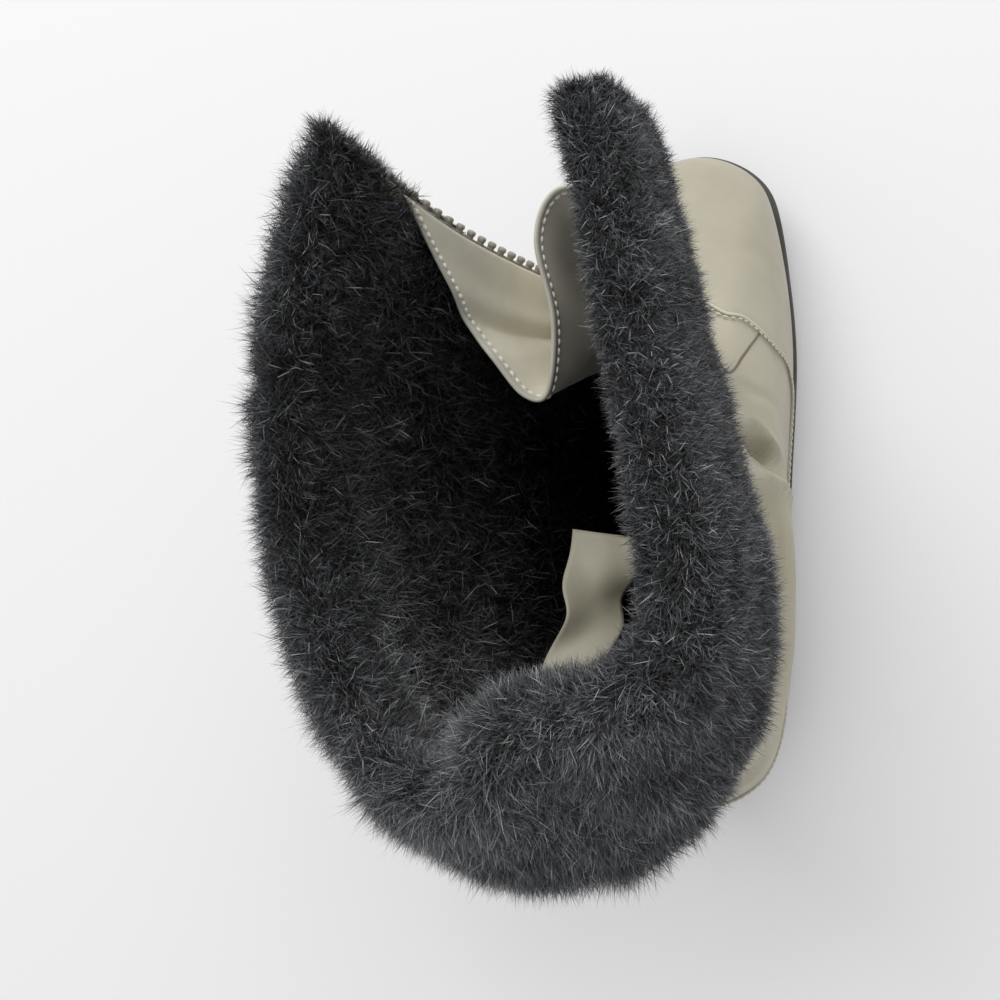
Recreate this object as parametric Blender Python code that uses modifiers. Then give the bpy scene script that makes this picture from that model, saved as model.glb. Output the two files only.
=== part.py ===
"""Front-zip winter boot for the left foot, standing open and empty on its sole.

The frame has its origin on the floor under the middle of the heel tread, +Y to the toe,
+X to the inner (medial) side of the foot and +Z up. Tables and sizes are in millimetres,
and make_object turns them into metres.
"""

import math

import bmesh
import bpy
import numpy as np
from mathutils import Matrix, Vector

MM = 0.001

# Driving dimensions of the last and the sole
LAST_LENGTH = 278.5
LAST_WIDTH = 93.0
HEEL_BACK_Y = -35.0
HEEL_TOP = 29.0
BALL_TOP = 20.0
TOE_TOP = 26.5
HEEL_SLOPE = (30.0, 120.0)
TOE_SLOPE = (185.0, 247.0)
TOE_SPRING = 9.0
SPRING_SLOPE = (194.0, 247.0)
SPRING_EASE = 1.4
ARCH_RISE = 7.0
ARCH_SLOPES = (40.0, 58.0, 92.0, 118.0)
HEEL_ROLL = 2.5
HEEL_ROLL_SLOPE = (-38.0, -22.0)
LUG_DEPTH = 3.5
GROOVE_WIDTH = 5.0
GROOVE_SWEEP = 9.0
HEEL_GROOVES = (-17.0, 9.0, 26.0)
BALL_GROOVES = (124.0, 141.0, 158.0, 175.0, 192.0, 209.0)

# Walls and clearances
GAP = 0.3
SOFT_GAP = 0.4
UPPER_SEAT = 0.4
UPPER_ROW = 0.4
UPPER_WALL = 2.0
SEAM_STEP = 1.2
SEAM_HALF = 0.05
SEAM_EASE = (0.1, 0.45)
SEAM_SAMPLES = 100
INSOLE_THICK = 4.0
INSOLE_INSET = 3.2
LINING_PILE = 7.5
LINING_EDGE = 1.5
LINING_TAPER = (0.5, 1.6)
LINING_LOCK = 3.2
LINING_LEAN = 3.0
LOCK_MARGIN = 4
CUFF_ENDS = (9.0, 1.5)
CUFF_END_SHARE = 0.6
CUFF_LOCK = 4.5
CUFF_LEAN = -1.0
CUFF_PILE = 11.0
CUFF_ROLL = 11.0
GUSSET_WALL = 1.4
GUSSET_TUCK = 3.0
GUSSET_FOOT = 5.3
GUSSET_HEM = (7.42, 7.06)
GUSSET_ROWS = 8
GUSSET_COLUMNS = 29
TAPE_WALL = 0.9
TAPE_GAP = 0.8
TAPE_HIDDEN = 3.2
ZIP_LEVELS = (5.42, 7.75)
TOOTH_PITCH = 5.3
TOOTH_TIP = (4.0, 2.6)
TOOTH_ROOT = (1.8, 1.3)
ZIP_SAMPLES = 200
EDGE_STEP = 0.12
LABEL_WALL = 0.7
LABEL_STATIONS = (6.55, 7.3)
LABEL_LEVEL = 7.5
LABEL_END = ((0.5, 80.0, 215.0), (-24.0, 83.0, 215.0))
LABEL_CURL = 6.0
LABEL_ROWS = 7
LABEL_COLUMNS = 5
LABEL_CLEAR = (6.05, 7.55)
LABEL_CLEAR_ROW = 2

# Stations round the boot, from the front over the inner side and the heel to the front again:
# along is a share of the last's length from heel to toe, across a share of its width
LAST_STATIONS = (
    ("toe tip", 1.000, -0.043),
    ("toe inner", 0.970, 0.215),
    ("joint inner", 0.894, 0.333),
    ("ball inner", 0.700, 0.409),
    ("waist inner", 0.442, 0.385),
    ("heel inner", 0.190, 0.392),
    ("heel corner inner", 0.054, 0.296),
    ("heel back", 0.000, 0.043),
    ("heel corner outer", 0.054, -0.210),
    ("heel outer", 0.183, -0.317),
    ("waist outer", 0.406, -0.441),
    ("ball outer", 0.664, -0.591),
    ("joint outer", 0.837, -0.516),
    ("toe outer", 0.955, -0.333),
    ("toe tip", 1.000, -0.043),
)

# Closed loops of the foot: where the front and the back lie, how far they stand above the
# line of the sole's top, the width at both ends and how far the loop follows the sole's dip
FOOT_LEVELS = (
    # name, front_y, front_rise, back_y, back_rise, back_width, front_width, follow
    ("feather", 243.5, 0.3, -35.0, 0.3, 1.00, 1.00, 1.0),
    ("bulge", 245.0, 12.0, -38.0, 17.0, 1.05, 1.03, 0.9),
    ("shoulder", 235.0, 27.0, -38.5, 33.0, 1.08, 0.95, 0.7),
    ("toe top", 207.0, 40.0, -36.0, 51.0, 1.10, 0.84, 0.5),
    ("instep", 181.0, 56.0, -29.0, 70.0, 1.08, 0.72, 0.3),
    ("throat", 156.0, 73.0, -22.0, 89.0, 1.00, 0.60, 0.1),
)

# Open loops of the shaft at the same stations: the cuff's lower line and the collar's rim.
# The shaft is slack: the outer flap falls open and the inner back folds in
SHAFT_STATIONS = (
    # cuff_x, cuff_y, cuff_z, rim_x, rim_y, rim_z
    (0.0, 188.0, 236.0, -6.0, 194.0, 284.0),
    (5.0, 165.0, 234.0, 0.0, 164.0, 287.0),
    (13.0, 136.0, 232.0, 7.0, 128.0, 288.0),
    (20.0, 106.0, 229.0, 15.0, 94.0, 287.0),
    (28.0, 76.0, 227.0, 20.0, 68.0, 285.0),
    (29.0, 40.0, 226.0, 14.0, 46.0, 282.0),
    (17.0, 7.0, 225.0, -4.0, 35.0, 278.0),
    (-5.0, -11.0, 224.0, -27.0, 29.0, 273.0),
    (-31.0, -17.0, 223.0, -47.0, 8.0, 267.0),
    (-54.0, -5.0, 222.0, -68.0, 14.0, 263.0),
    (-70.0, 22.0, 221.0, -88.0, 44.0, 262.0),
    (-80.0, 58.0, 221.0, -99.0, 86.0, 264.0),
    (-84.0, 98.0, 221.0, -99.0, 124.0, 268.0),
    (-76.0, 142.0, 224.0, -92.0, 161.0, 272.0),
    (-57.0, 176.0, 232.0, -80.0, 193.0, 274.0),
)

# Soft folds of the slack ankle, pushed out from the wall
ANKLE_FOLDS = (
    # name, station, level, station_spread, level_spread, out
    ("inner ankle puff", 3.9, 3.9, 1.0, 0.9, 11.0),
    ("outer ankle puff", 10.3, 4.4, 1.1, 0.8, 6.0),
    ("heel tuck", 7.0, 5.9, 2.2, 0.5, -4.0),
)

# Top edge of the raised leather, from the instep to the heel and the same on the other side:
# the vamp falls to the waist, a low rand joins it to the counter, and the counter rises
SEAM_LINE = (
    # name, station, level
    ("instep", 0.0, 4.15),
    ("instep side", 1.1, 4.2),
    ("vamp side", 2.2, 3.55),
    ("vamp fall", 2.9, 2.4),
    ("vamp foot", 3.5, 0.8),
    ("rand", 4.5, 0.55),
    ("counter foot", 5.2, 0.9),
    ("counter front", 5.8, 2.2),
    ("counter top", 7.0, 2.9),
)

# The sole's side, from the tread up: how far out of the feather line and the share of its height
SOLE_SIDE = (
    # name, out, share
    ("tread edge", -1.5, 0.00),
    ("tread side", 0.8, 0.14),
    ("wall foot", 1.8, 0.30),
    ("wall top", 2.4, 0.64),
    ("groove foot", 1.0, 0.68),
    ("groove top", 1.0, 0.76),
    ("rim foot", 3.2, 0.80),
    ("rim top", 3.2, 0.96),
    ("top edge", 2.6, 1.00),
)

# The gusset's hem between the two flaps, from the outer one to the inner one
GUSSET_FOLDS = (
    # name, x, y, z
    ("outer panel", -54.0, 152.0, 226.0),
    ("valley outer", -39.0, 128.0, 217.0),
    ("valley inner", -31.0, 128.0, 217.0),
    ("inner panel", -29.0, 150.0, 222.0),
    ("roll back", -33.0, 175.0, 229.0),
    ("roll front", -25.0, 189.0, 233.0),
)

# Section of the fur cuff: height is a share of the cuff below the rim, or millimetres above
# it in rise, and out is measured from the wall. Locks are raised on the rows marked so
CUFF_SECTION = (
    # name, height, rise, out, lock
    ("wall foot", 0.00, 0.0, SOFT_GAP, False),
    ("wall middle", 0.50, 0.0, SOFT_GAP, False),
    ("wall top", 1.00, 0.6, SOFT_GAP, False),
    ("over lining", 1.00, 0.6, -UPPER_WALL - LINING_PILE, True),
    ("roll inner", 1.00, 0.7 * CUFF_ROLL, -LINING_PILE, True),
    ("roll top", 1.00, CUFF_ROLL, 0.3 * CUFF_PILE, True),
    ("roll outer", 1.00, 0.2 * CUFF_ROLL, 0.95 * CUFF_PILE, True),
    ("upper pile", 0.66, 0.0, CUFF_PILE, True),
    ("middle pile", 0.33, 0.0, CUFF_PILE, True),
    ("lower pile", 0.02, 0.0, CUFF_PILE, True),
    ("hanging locks", -0.10, 0.0, 0.6 * CUFF_PILE, False),
)

COLUMNS_PER_STATION = 4
LAST_STATION = len(LAST_STATIONS) - 1
THROAT = len(FOOT_LEVELS) - 1
CUFF = THROAT + 2
RIM = THROAT + 3
ROWS_BELOW_SEAM = 7
ROWS_TO_THROAT = 7
SHAFT_ROWS = (5.25, 5.5, 6.0, 6.5, 7.0, 7.5, 8.0)
LINING_ROWS = (5.5, 6.0, 6.5, 7.0, 7.5, 7.97)
COLUMNS = np.linspace(0.0, LAST_STATION, LAST_STATION * COLUMNS_PER_STATION + 1)

SLIDER_SIZE = (12.0, 12.0, 3.6)
SLIDER_BEVEL = 0.8
BRIDGE_RADIUS = 3.0
BRIDGE_WIRE = 0.7
BRIDGE_STEPS = (16, 6)
PULL_LENGTH = 25.0
PULL_WIDTH = 9.0
PULL_WALL = 1.1
PULL_CORNER = 2.0
PULL_CORNER_STEPS = 3
PULL_WINDOW = (5.2, 5.6)
PIN_HEIGHT = 1.2
SLIDER_SEAT = 1.2
SLIDER_LEVEL = 5.36
PULL_REST = math.radians(13.0)

# Colours in linear light, with roughness and metallic
FINISHES = {
    "rubber": ((0.10, 0.095, 0.085), 0.70, 0.0),
    "leather": ((0.40, 0.37, 0.29), 0.45, 0.0),
    "nylon": ((0.34, 0.31, 0.24), 0.60, 0.0),
    "pile": ((0.020, 0.021, 0.024), 0.90, 0.0),
    "felt": ((0.030, 0.030, 0.032), 0.95, 0.0),
    "zip plastic": ((0.28, 0.26, 0.21), 0.45, 0.0),
    "zip metal": ((0.45, 0.44, 0.42), 0.35, 1.0),
    "satin": ((0.72, 0.72, 0.64), 0.55, 0.0),
}


def smooth(low, high, value):
    """Eased step from 0 at low to 1 at high."""
    share = np.clip((value - low) / (high - low), 0.0, 1.0)
    return share * share * (3.0 - 2.0 * share)


def unit(vectors):
    return vectors / np.maximum(np.linalg.norm(vectors, axis=-1, keepdims=True), 1e-9)


def sole_top(y):
    """Height of the outsole's upper face at a place along the foot."""
    heel = (HEEL_TOP - BALL_TOP) * (1.0 - smooth(*HEEL_SLOPE, y))
    return BALL_TOP + heel + (TOE_TOP - BALL_TOP) * smooth(*TOE_SLOPE, y)


def sole_bottom(y):
    """Height of the tread: flat under heel and ball, raised at the arch, toe and heel edge."""
    arch = smooth(ARCH_SLOPES[0], ARCH_SLOPES[1], y) - smooth(ARCH_SLOPES[2], ARCH_SLOPES[3], y)
    roll = HEEL_ROLL * (1.0 - smooth(*HEEL_ROLL_SLOPE, y))
    return ARCH_RISE * arch + TOE_SPRING * smooth(*SPRING_SLOPE, y) ** SPRING_EASE + roll


def foot_loop(level):
    """Station points of one closed loop of the foot."""
    _, front_y, front_rise, back_y, back_rise, back_width, front_width, follow = level
    along = np.array([row[1] for row in LAST_STATIONS])
    across = np.array([row[2] for row in LAST_STATIONS]) * LAST_WIDTH
    line = HEEL_TOP + (TOE_TOP - HEEL_TOP) * along
    dip = sole_top(HEEL_BACK_Y + along * LAST_LENGTH) - line
    x = across * (back_width + (front_width - back_width) * along)
    y = back_y + (front_y - back_y) * along
    z = line + follow * dip + back_rise + (front_rise - back_rise) * along
    return np.stack([x, y, z], axis=1)


def build_levels():
    """Control points of the wall, level by station: the foot's loops, mid shaft, cuff and rim."""
    foot = [foot_loop(level) for level in FOOT_LEVELS]
    shaft = np.array(SHAFT_STATIONS)
    cuff, rim = shaft[:, :3], shaft[:, 3:]
    levels = np.array(foot + [(foot[-1] + cuff) / 2.0, cuff, rim])
    station = np.arange(LAST_STATION + 1)[None, :]
    row = np.arange(len(levels))[:, None]
    centre = levels.mean(axis=1, keepdims=True)
    outward = levels - centre
    outward[..., 2] = 0.0
    outward = unit(outward)
    for _, at, level, spread, level_spread, out in ANKLE_FOLDS:
        weight = np.exp(-(((station - at) / spread) ** 2) - ((row - level) / level_spread) ** 2)
        levels = levels + outward * (out * weight)[..., None]
    return levels


LEVELS = build_levels()


def cubic(before, start, end, after, share):
    """Smooth curve from start to end that also heeds the points beside them."""
    slope_in, slope_out = (end - before) / 2.0, (after - start) / 2.0
    span = end - start
    bend = 3.0 * span - 2.0 * slope_in - slope_out
    return start + share * (slope_in + share * (bend + share * (slope_in + slope_out - 2.0 * span)))


def through(points, places):
    """Points on a smooth open curve through the given points."""
    padded = np.concatenate([2 * points[:1] - points[1:2], points, 2 * points[-1:] - points[-2:-1]])
    index = np.clip(np.floor(places).astype(int), 0, len(points) - 2)
    share = (places - index)[:, None]
    return cubic(*(padded[index + k] for k in range(4)), share)


def rings(stations):
    """Every level's curve at the given stations; the foot's loops close at the front."""
    before = 2 * LEVELS[:, :1] - LEVELS[:, 1:2]
    after = 2 * LEVELS[:, -1:] - LEVELS[:, -2:-1]
    before[: THROAT + 1] = LEVELS[: THROAT + 1, -2:-1]
    after[: THROAT + 1] = LEVELS[: THROAT + 1, 1:2]
    padded = np.concatenate([before, LEVELS, after], axis=1)
    index = np.clip(np.floor(stations).astype(int), 0, LAST_STATION - 1)
    share = (stations - index)[None, :, None]
    return cubic(*(padded[:, index + k] for k in range(4)), share)


def wall(stations, levels):
    """Outer face of the upper, row by column; levels is one row list or a table by column."""
    loops = rings(stations)
    padded = np.concatenate([2 * loops[:1] - loops[1:2], loops, 2 * loops[-1:] - loops[-2:-1]])
    if levels.ndim == 1:
        levels = np.repeat(levels[:, None], len(stations), axis=1)
    index = np.clip(np.floor(levels).astype(int), 0, RIM - 1)
    share = (levels - index)[..., None]
    column = np.arange(len(stations))[None, :]
    return cubic(*(padded[index + k, column] for k in range(4)), share)


def wall_frame(stations, levels):
    """Points of the wall with its outward normals and its upward direction."""
    step = 0.05
    points = wall(stations, levels)
    low, high = np.clip(stations - step, 0, LAST_STATION), np.clip(stations + step, 0, LAST_STATION)
    around = wall(high, levels) - wall(low, levels)
    up = wall(stations, np.minimum(levels + step, RIM)) - wall(stations, np.maximum(levels - step, 0))
    return points, unit(np.cross(up, around)), unit(up)


def make_finish(name):
    """Material of one kind, made once."""
    if name in bpy.data.materials:
        return bpy.data.materials[name]
    colour, roughness, metallic = FINISHES[name]
    material = bpy.data.materials.new(name)
    material.use_nodes = True
    shader = material.node_tree.nodes["Principled BSDF"]
    shader.inputs["Base Color"].default_value = (*colour, 1.0)
    shader.inputs["Roughness"].default_value = roughness
    shader.inputs["Metallic"].default_value = metallic
    return material


def make_object(name, mesh_bm, finish, collection):
    """Object from a bmesh in millimetres."""
    bmesh.ops.scale(mesh_bm, vec=(MM, MM, MM), verts=mesh_bm.verts)
    mesh = bpy.data.meshes.new(name)
    mesh_bm.to_mesh(mesh)
    mesh_bm.free()
    obj = bpy.data.objects.new(name, mesh)
    mesh.materials.append(make_finish(finish))
    collection.objects.link(obj)
    return obj


def add_sheet(bm, points, flip):
    """Grid of quads through a table of points, row by column; returns its vertices as a table."""
    rows, columns = points.shape[:2]
    made = bmesh.ops.create_grid(bm, x_segments=columns - 1, y_segments=rows - 1, size=1.0)
    verts = made["verts"]
    for vert, place in zip(verts, points.reshape(-1, 3)):
        vert.co = place
    if flip:
        bmesh.ops.reverse_faces(bm, faces=list({face for vert in verts for face in vert.link_faces}))
    return [verts[row * columns:(row + 1) * columns] for row in range(rows)]


def edge_loop(table):
    """Vertices round the edge of a sheet, in order."""
    right = [row[-1] for row in table[1:-1]]
    left = [row[0] for row in table[1:-1]]
    return table[0] + right + table[-1][::-1] + left[::-1]


def raise_locks(bm, faces, rise, lean):
    """Turn each face into a pointed lock of fur that leans up or down with the pile."""
    made = bmesh.ops.poke(bm, faces=faces, offset=rise, center_mode="MEAN")
    for vert in made["verts"]:
        vert.co.z += lean


def slab(outer, inner):
    """Closed wall between an outer and an inner sheet of the same size."""
    bm = bmesh.new()
    front = add_sheet(bm, outer, flip=True)
    back = add_sheet(bm, inner, flip=False)
    front_edge, back_edge = edge_loop(front), edge_loop(back)
    for k in range(len(front_edge)):
        bm.faces.new((front_edge[k - 1], front_edge[k], back_edge[k], back_edge[k - 1]))
    bmesh.ops.recalc_face_normals(bm, faces=bm.faces)
    return bm, back


def close_loop(bm, loop):
    """Cap a foot-shaped loop with rungs from its inner side to its outer side."""
    half = len(loop) // 2
    bm.faces.new((loop[0], loop[1], loop[-1]))
    for k in range(1, half - 1):
        bm.faces.new((loop[k], loop[k + 1], loop[-k - 1], loop[-k]))
    bm.faces.new((loop[half - 1], loop[half], loop[half + 1]))


def foot_solid(rows):
    """Closed solid from foot-shaped loops stacked from the bottom to the top."""
    bm = bmesh.new()
    table = add_sheet(bm, np.concatenate([rows, rows[:, :1]], axis=1), flip=True)
    bmesh.ops.weld_verts(bm, targetmap={row[-1]: row[0] for row in table})
    close_loop(bm, table[0][:-1])
    close_loop(bm, table[-1][:-1])
    bmesh.ops.recalc_face_normals(bm, faces=bm.faces)
    return bm


def feather_plan():
    """Feather line seen from above, with its outward directions, as a closed loop."""
    loop = rings(COLUMNS)[0][:-1, :2]
    ahead = unit(np.roll(loop, -1, axis=0) - np.roll(loop, 1, axis=0))
    return loop, np.stack([-ahead[:, 1], ahead[:, 0]], axis=1)


def make_outsole(parts, cutters):
    plan, outward = feather_plan()
    rows = []
    for _, out, share in SOLE_SIDE:
        place = plan + out * outward
        low, high = sole_bottom(place[:, 1]), sole_top(place[:, 1])
        rows.append(np.column_stack([place, low + share * (high - low)]))
    outsole = make_object("outsole", foot_solid(np.array(rows)), "rubber", parts)

    bars = bmesh.new()
    for y in HEEL_GROOVES + BALL_GROOVES:
        bar = bmesh.ops.create_cube(bars, size=1.0)["verts"]
        bmesh.ops.scale(bars, vec=(2.0 * LAST_WIDTH, GROOVE_WIDTH, 4.0 * LUG_DEPTH), verts=bar)
        bmesh.ops.translate(bars, vec=(0.0, y, -LUG_DEPTH), verts=bar)
    halves = bmesh.ops.bisect_plane(
        bars, geom=bars.verts[:] + bars.edges[:] + bars.faces[:], plane_co=(0, 0, 0), plane_no=(1, 0, 0)
    )
    middle = [item for item in halves["geom_cut"] if isinstance(item, bmesh.types.BMVert)]
    bmesh.ops.translate(bars, vec=(0.0, GROOVE_SWEEP, 0.0), verts=middle)
    bmesh.ops.recalc_face_normals(bars, faces=bars.faces)
    cutter = make_object("tread grooves", bars, "rubber", cutters)
    cutter.hide_render = True
    cutter.display_type = "WIRE"
    cut = outsole.modifiers.new("tread grooves", "BOOLEAN")
    cut.operation = "DIFFERENCE"
    cut.object = cutter


def make_insole(parts):
    plan, outward = feather_plan()
    place = plan - INSOLE_INSET * outward
    low = sole_top(place[:, 1]) + 2.0 * GAP
    rows = np.array([np.column_stack([place, low]), np.column_stack([place, low + INSOLE_THICK])])
    make_object("insole", foot_solid(rows), "felt", parts)


def upper_rows(stations):
    """Levels of the upper's rows, column by column, with a pair of rows along the raised seam."""
    line = np.array([row[1:] for row in SEAM_LINE])
    line = through(line, np.linspace(0.0, len(line) - 1.0, SEAM_SAMPLES))
    seam = np.interp(np.minimum(stations, LAST_STATION - stations), line[:, 0], line[:, 1])
    below = np.linspace(0.0, 1.0, ROWS_BELOW_SEAM)[:, None] * (seam - SEAM_HALF)
    between = np.linspace(0.0, 1.0, ROWS_TO_THROAT)[:, None]
    above = (seam + SEAM_HALF) + between * (THROAT - seam - SEAM_HALF)
    shaft = np.array(SHAFT_ROWS)[:, None] + np.zeros_like(seam)
    return np.concatenate([below, above, shaft])


def make_upper(parts):
    """One wall from feather line to rim, closed at the front below the throat and slit above."""
    levels = upper_rows(COLUMNS)
    points, normals, _ = wall_frame(COLUMNS, levels)
    raised = SEAM_STEP * smooth(*SEAM_EASE, levels)
    raised[ROWS_BELOW_SEAM:] = 0.0
    points = points + raised[..., None] * normals
    seat = sole_top(points[..., 1]) + UPPER_SEAT + UPPER_ROW * np.arange(len(levels))[:, None]
    points[0, :, 2] = seat[0]
    points[..., 2] = np.maximum(points[..., 2], seat)
    closed = ROWS_BELOW_SEAM + ROWS_TO_THROAT
    middle = (points[:closed, 0] + points[:closed, -1]) / 2.0
    points[:closed, 0] = middle
    points[:closed, -1] = middle
    bm = bmesh.new()
    table = add_sheet(bm, points, flip=True)
    bmesh.ops.weld_verts(bm, targetmap={row[-1]: row[0] for row in table[:closed]})
    upper = make_object("upper", bm, "leather", parts)
    shell = upper.modifiers.new("wall", "SOLIDIFY")
    shell.thickness = UPPER_WALL * MM
    shell.offset = -1.0
    upper.data.shade_smooth()


def make_fur_lining(parts):
    """Pile inside the shaft, thin at the zip edges, with locks that point to the collar."""
    stations = COLUMNS[2:-2]
    levels = np.array(LINING_ROWS)
    points, normals, _ = wall_frame(stations, levels)
    edge = np.minimum(stations, LAST_STATION - stations)
    pile = LINING_EDGE + (LINING_PILE - LINING_EDGE) * smooth(*LINING_TAPER, edge)
    outer = points - (UPPER_WALL + SOFT_GAP) * normals
    inner = outer - pile[None, :, None] * normals
    bm, table = slab(outer, inner)
    faces = []
    for row in range(len(levels) - 1):
        for column in range(LOCK_MARGIN + row % 2, len(stations) - 1 - LOCK_MARGIN, 2):
            if row >= LABEL_CLEAR_ROW and LABEL_CLEAR[0] < stations[column] < LABEL_CLEAR[1]:
                continue
            corner = set(table[row][column].link_faces) & set(table[row + 1][column + 1].link_faces)
            faces.extend(corner)
    raise_locks(bm, faces, LINING_LOCK, LINING_LEAN)
    make_object("fur_lining", bm, "pile", parts)


def make_fur_cuff(parts):
    """Pile band outside the collar that rolls over the rim, with locks that hang down and out."""
    rows = []
    for _, height, rise, out, _ in CUFF_SECTION:
        points, normals, up = (item[0] for item in wall_frame(COLUMNS, np.array([CUFF + height])))
        row = points + rise * up + out * normals
        end_out = CUFF_END_SHARE * out if out > SOFT_GAP else out
        ahead = np.array(CUFF_ENDS)[:, None] * unit(points[[0, -1]] - points[[1, -2]])
        lift = CUFF_END_SHARE * rise * up[[0, -1]] + end_out * normals[[0, -1]]
        ends = points[[0, -1]] + ahead + lift
        rows.append(np.concatenate([ends[:1], row, ends[1:]]))
    section = np.array(rows)
    bm = bmesh.new()
    table = add_sheet(bm, np.concatenate([section, section[:1]]), flip=False)
    bmesh.ops.weld_verts(bm, targetmap=dict(zip(table[-1], table[0])))
    open_edges = [edge for edge in bm.edges if edge.is_boundary]
    bmesh.ops.holes_fill(bm, edges=open_edges, sides=0)
    bmesh.ops.recalc_face_normals(bm, faces=bm.faces)
    faces = []
    for row, entry in enumerate(CUFF_SECTION):
        for column in range(row % 2, section.shape[1] - 1, 2):
            if entry[-1]:
                corner = set(table[row][column].link_faces) & set(table[row + 1][column + 1].link_faces)
                faces.extend(corner)
    raise_locks(bm, faces, CUFF_LOCK, CUFF_LEAN)
    make_object("fur_cuff", bm, "pile", parts)


def flap_edge(front, levels, inside):
    """Points just inside a flap's front edge, with the directions away from the flap and outward."""
    station = np.array([0.0 if front == "inner" else float(LAST_STATION)])
    back = np.array([EDGE_STEP if front == "inner" else LAST_STATION - EDGE_STEP])
    points, normals, _ = wall_frame(station, levels)
    behind = wall(back, levels)
    away = unit(points[:, 0] - behind[:, 0])
    return points[:, 0] - inside * normals[:, 0], away, normals[:, 0]


def make_gusset(parts):
    """Bellows between the flaps: deep folds at the hem that close up towards the throat."""
    rise = np.linspace(0.0, 1.0, GUSSET_ROWS)
    inside = UPPER_WALL + TAPE_GAP + TAPE_WALL + SOFT_GAP + GUSSET_WALL / 2.0
    edges = []
    for front, hem_level in (("outer", GUSSET_HEM[0]), ("inner", GUSSET_HEM[1])):
        points, away, _ = flap_edge(front, GUSSET_FOOT + rise * (hem_level - GUSSET_FOOT), inside)
        edges.append(points - GUSSET_TUCK * away)
    outer_edge, inner_edge = edges
    hem_points = np.array([outer_edge[-1]] + [row[1:] for row in GUSSET_FOLDS] + [inner_edge[-1]])
    across = np.linspace(0.0, 1.0, GUSSET_COLUMNS)
    hem = through(hem_points, across * (len(hem_points) - 1))
    chord = outer_edge[:, None] + across[None, :, None] * (inner_edge - outer_edge)[:, None]
    folds = (hem - chord[-1])[None] * rise[:, None, None]
    sheet = chord + folds
    along = np.gradient(sheet, axis=1)
    normal = unit(np.cross(along, np.gradient(sheet, axis=0)))
    bm, _ = slab(sheet + normal * GUSSET_WALL / 2.0, sheet - normal * GUSSET_WALL / 2.0)
    make_object("gusset", bm, "nylon", parts)


def make_zip(front, parts):
    """Tape inside a flap's edge whose free side is a row of moulded teeth."""
    fine = np.linspace(*ZIP_LEVELS, ZIP_SAMPLES)
    points, _, _ = flap_edge(front, fine, UPPER_WALL + TAPE_GAP)
    length = np.concatenate([[0.0], np.cumsum(np.linalg.norm(np.diff(points, axis=0), axis=1))])
    places = np.arange(0.0, length[-1], TOOTH_PITCH / 2.0)
    levels = np.interp(places, length, fine)
    points, away, normals = flap_edge(front, levels, UPPER_WALL + TAPE_GAP)
    tip = (np.arange(len(levels)) % 2)[:, None]
    reach = TOOTH_ROOT[0] + tip * (TOOTH_TIP[0] - TOOTH_ROOT[0])
    thick = TOOTH_ROOT[1] + tip * (TOOTH_TIP[1] - TOOTH_ROOT[1])
    low = points - TAPE_HIDDEN * away
    high = points + reach * away - TAPE_WALL / 2.0 * normals
    outer = np.stack([low, high + thick / 2.0 * normals], axis=1)
    inner = np.stack([low - TAPE_WALL * normals, high - thick / 2.0 * normals], axis=1)
    bm, _ = slab(outer, inner)
    make_object("zip_" + front, bm, "zip plastic", parts)


def make_label(parts):
    """Blank label sewn to the lining at the back of the collar, curling out into the shaft."""
    stations = np.linspace(*LABEL_STATIONS, LABEL_COLUMNS)
    points, normals, _ = wall_frame(stations, np.array([LABEL_LEVEL]))
    depth = UPPER_WALL + SOFT_GAP + LINING_PILE + 2.0 * SOFT_GAP
    root = points[0] - depth * normals[0]
    share = np.linspace(0.0, 1.0, LABEL_COLUMNS)[:, None]
    end = np.array(LABEL_END[0]) + share * (np.array(LABEL_END[1]) - np.array(LABEL_END[0]))
    along = np.linspace(0.0, 1.0, LABEL_ROWS)[:, None, None]
    curl = LABEL_CURL * np.sin(math.pi * along) * (2.0 * share - 1.0)[None]
    sheet = root[None] + along * (end - root)[None] + curl * np.array([0.0, 0.0, 1.0])
    normal = unit(np.cross(np.gradient(sheet, axis=0), np.gradient(sheet, axis=1)))
    bm, _ = slab(sheet + LABEL_WALL * normal, sheet)
    make_object("label", bm, "satin", parts)


def slider_place():
    """Seat of the slider over the foot of the slit: X across, Y down the zip, Z out of the wall."""
    edges = np.array([0.0, float(LAST_STATION)])
    points, normals, _ = wall_frame(edges, np.array([SLIDER_LEVEL]))
    point, normal = points[0].mean(axis=0), normals[0].mean(axis=0)
    normal[0] = 0.0
    normal = unit(normal)
    across = np.array([1.0, 0.0, 0.0])
    turn = Matrix((across, np.cross(normal, across), normal)).transposed().to_4x4()
    return Matrix.Translation(Vector((point + SLIDER_SEAT * normal) * MM)) @ turn


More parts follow.
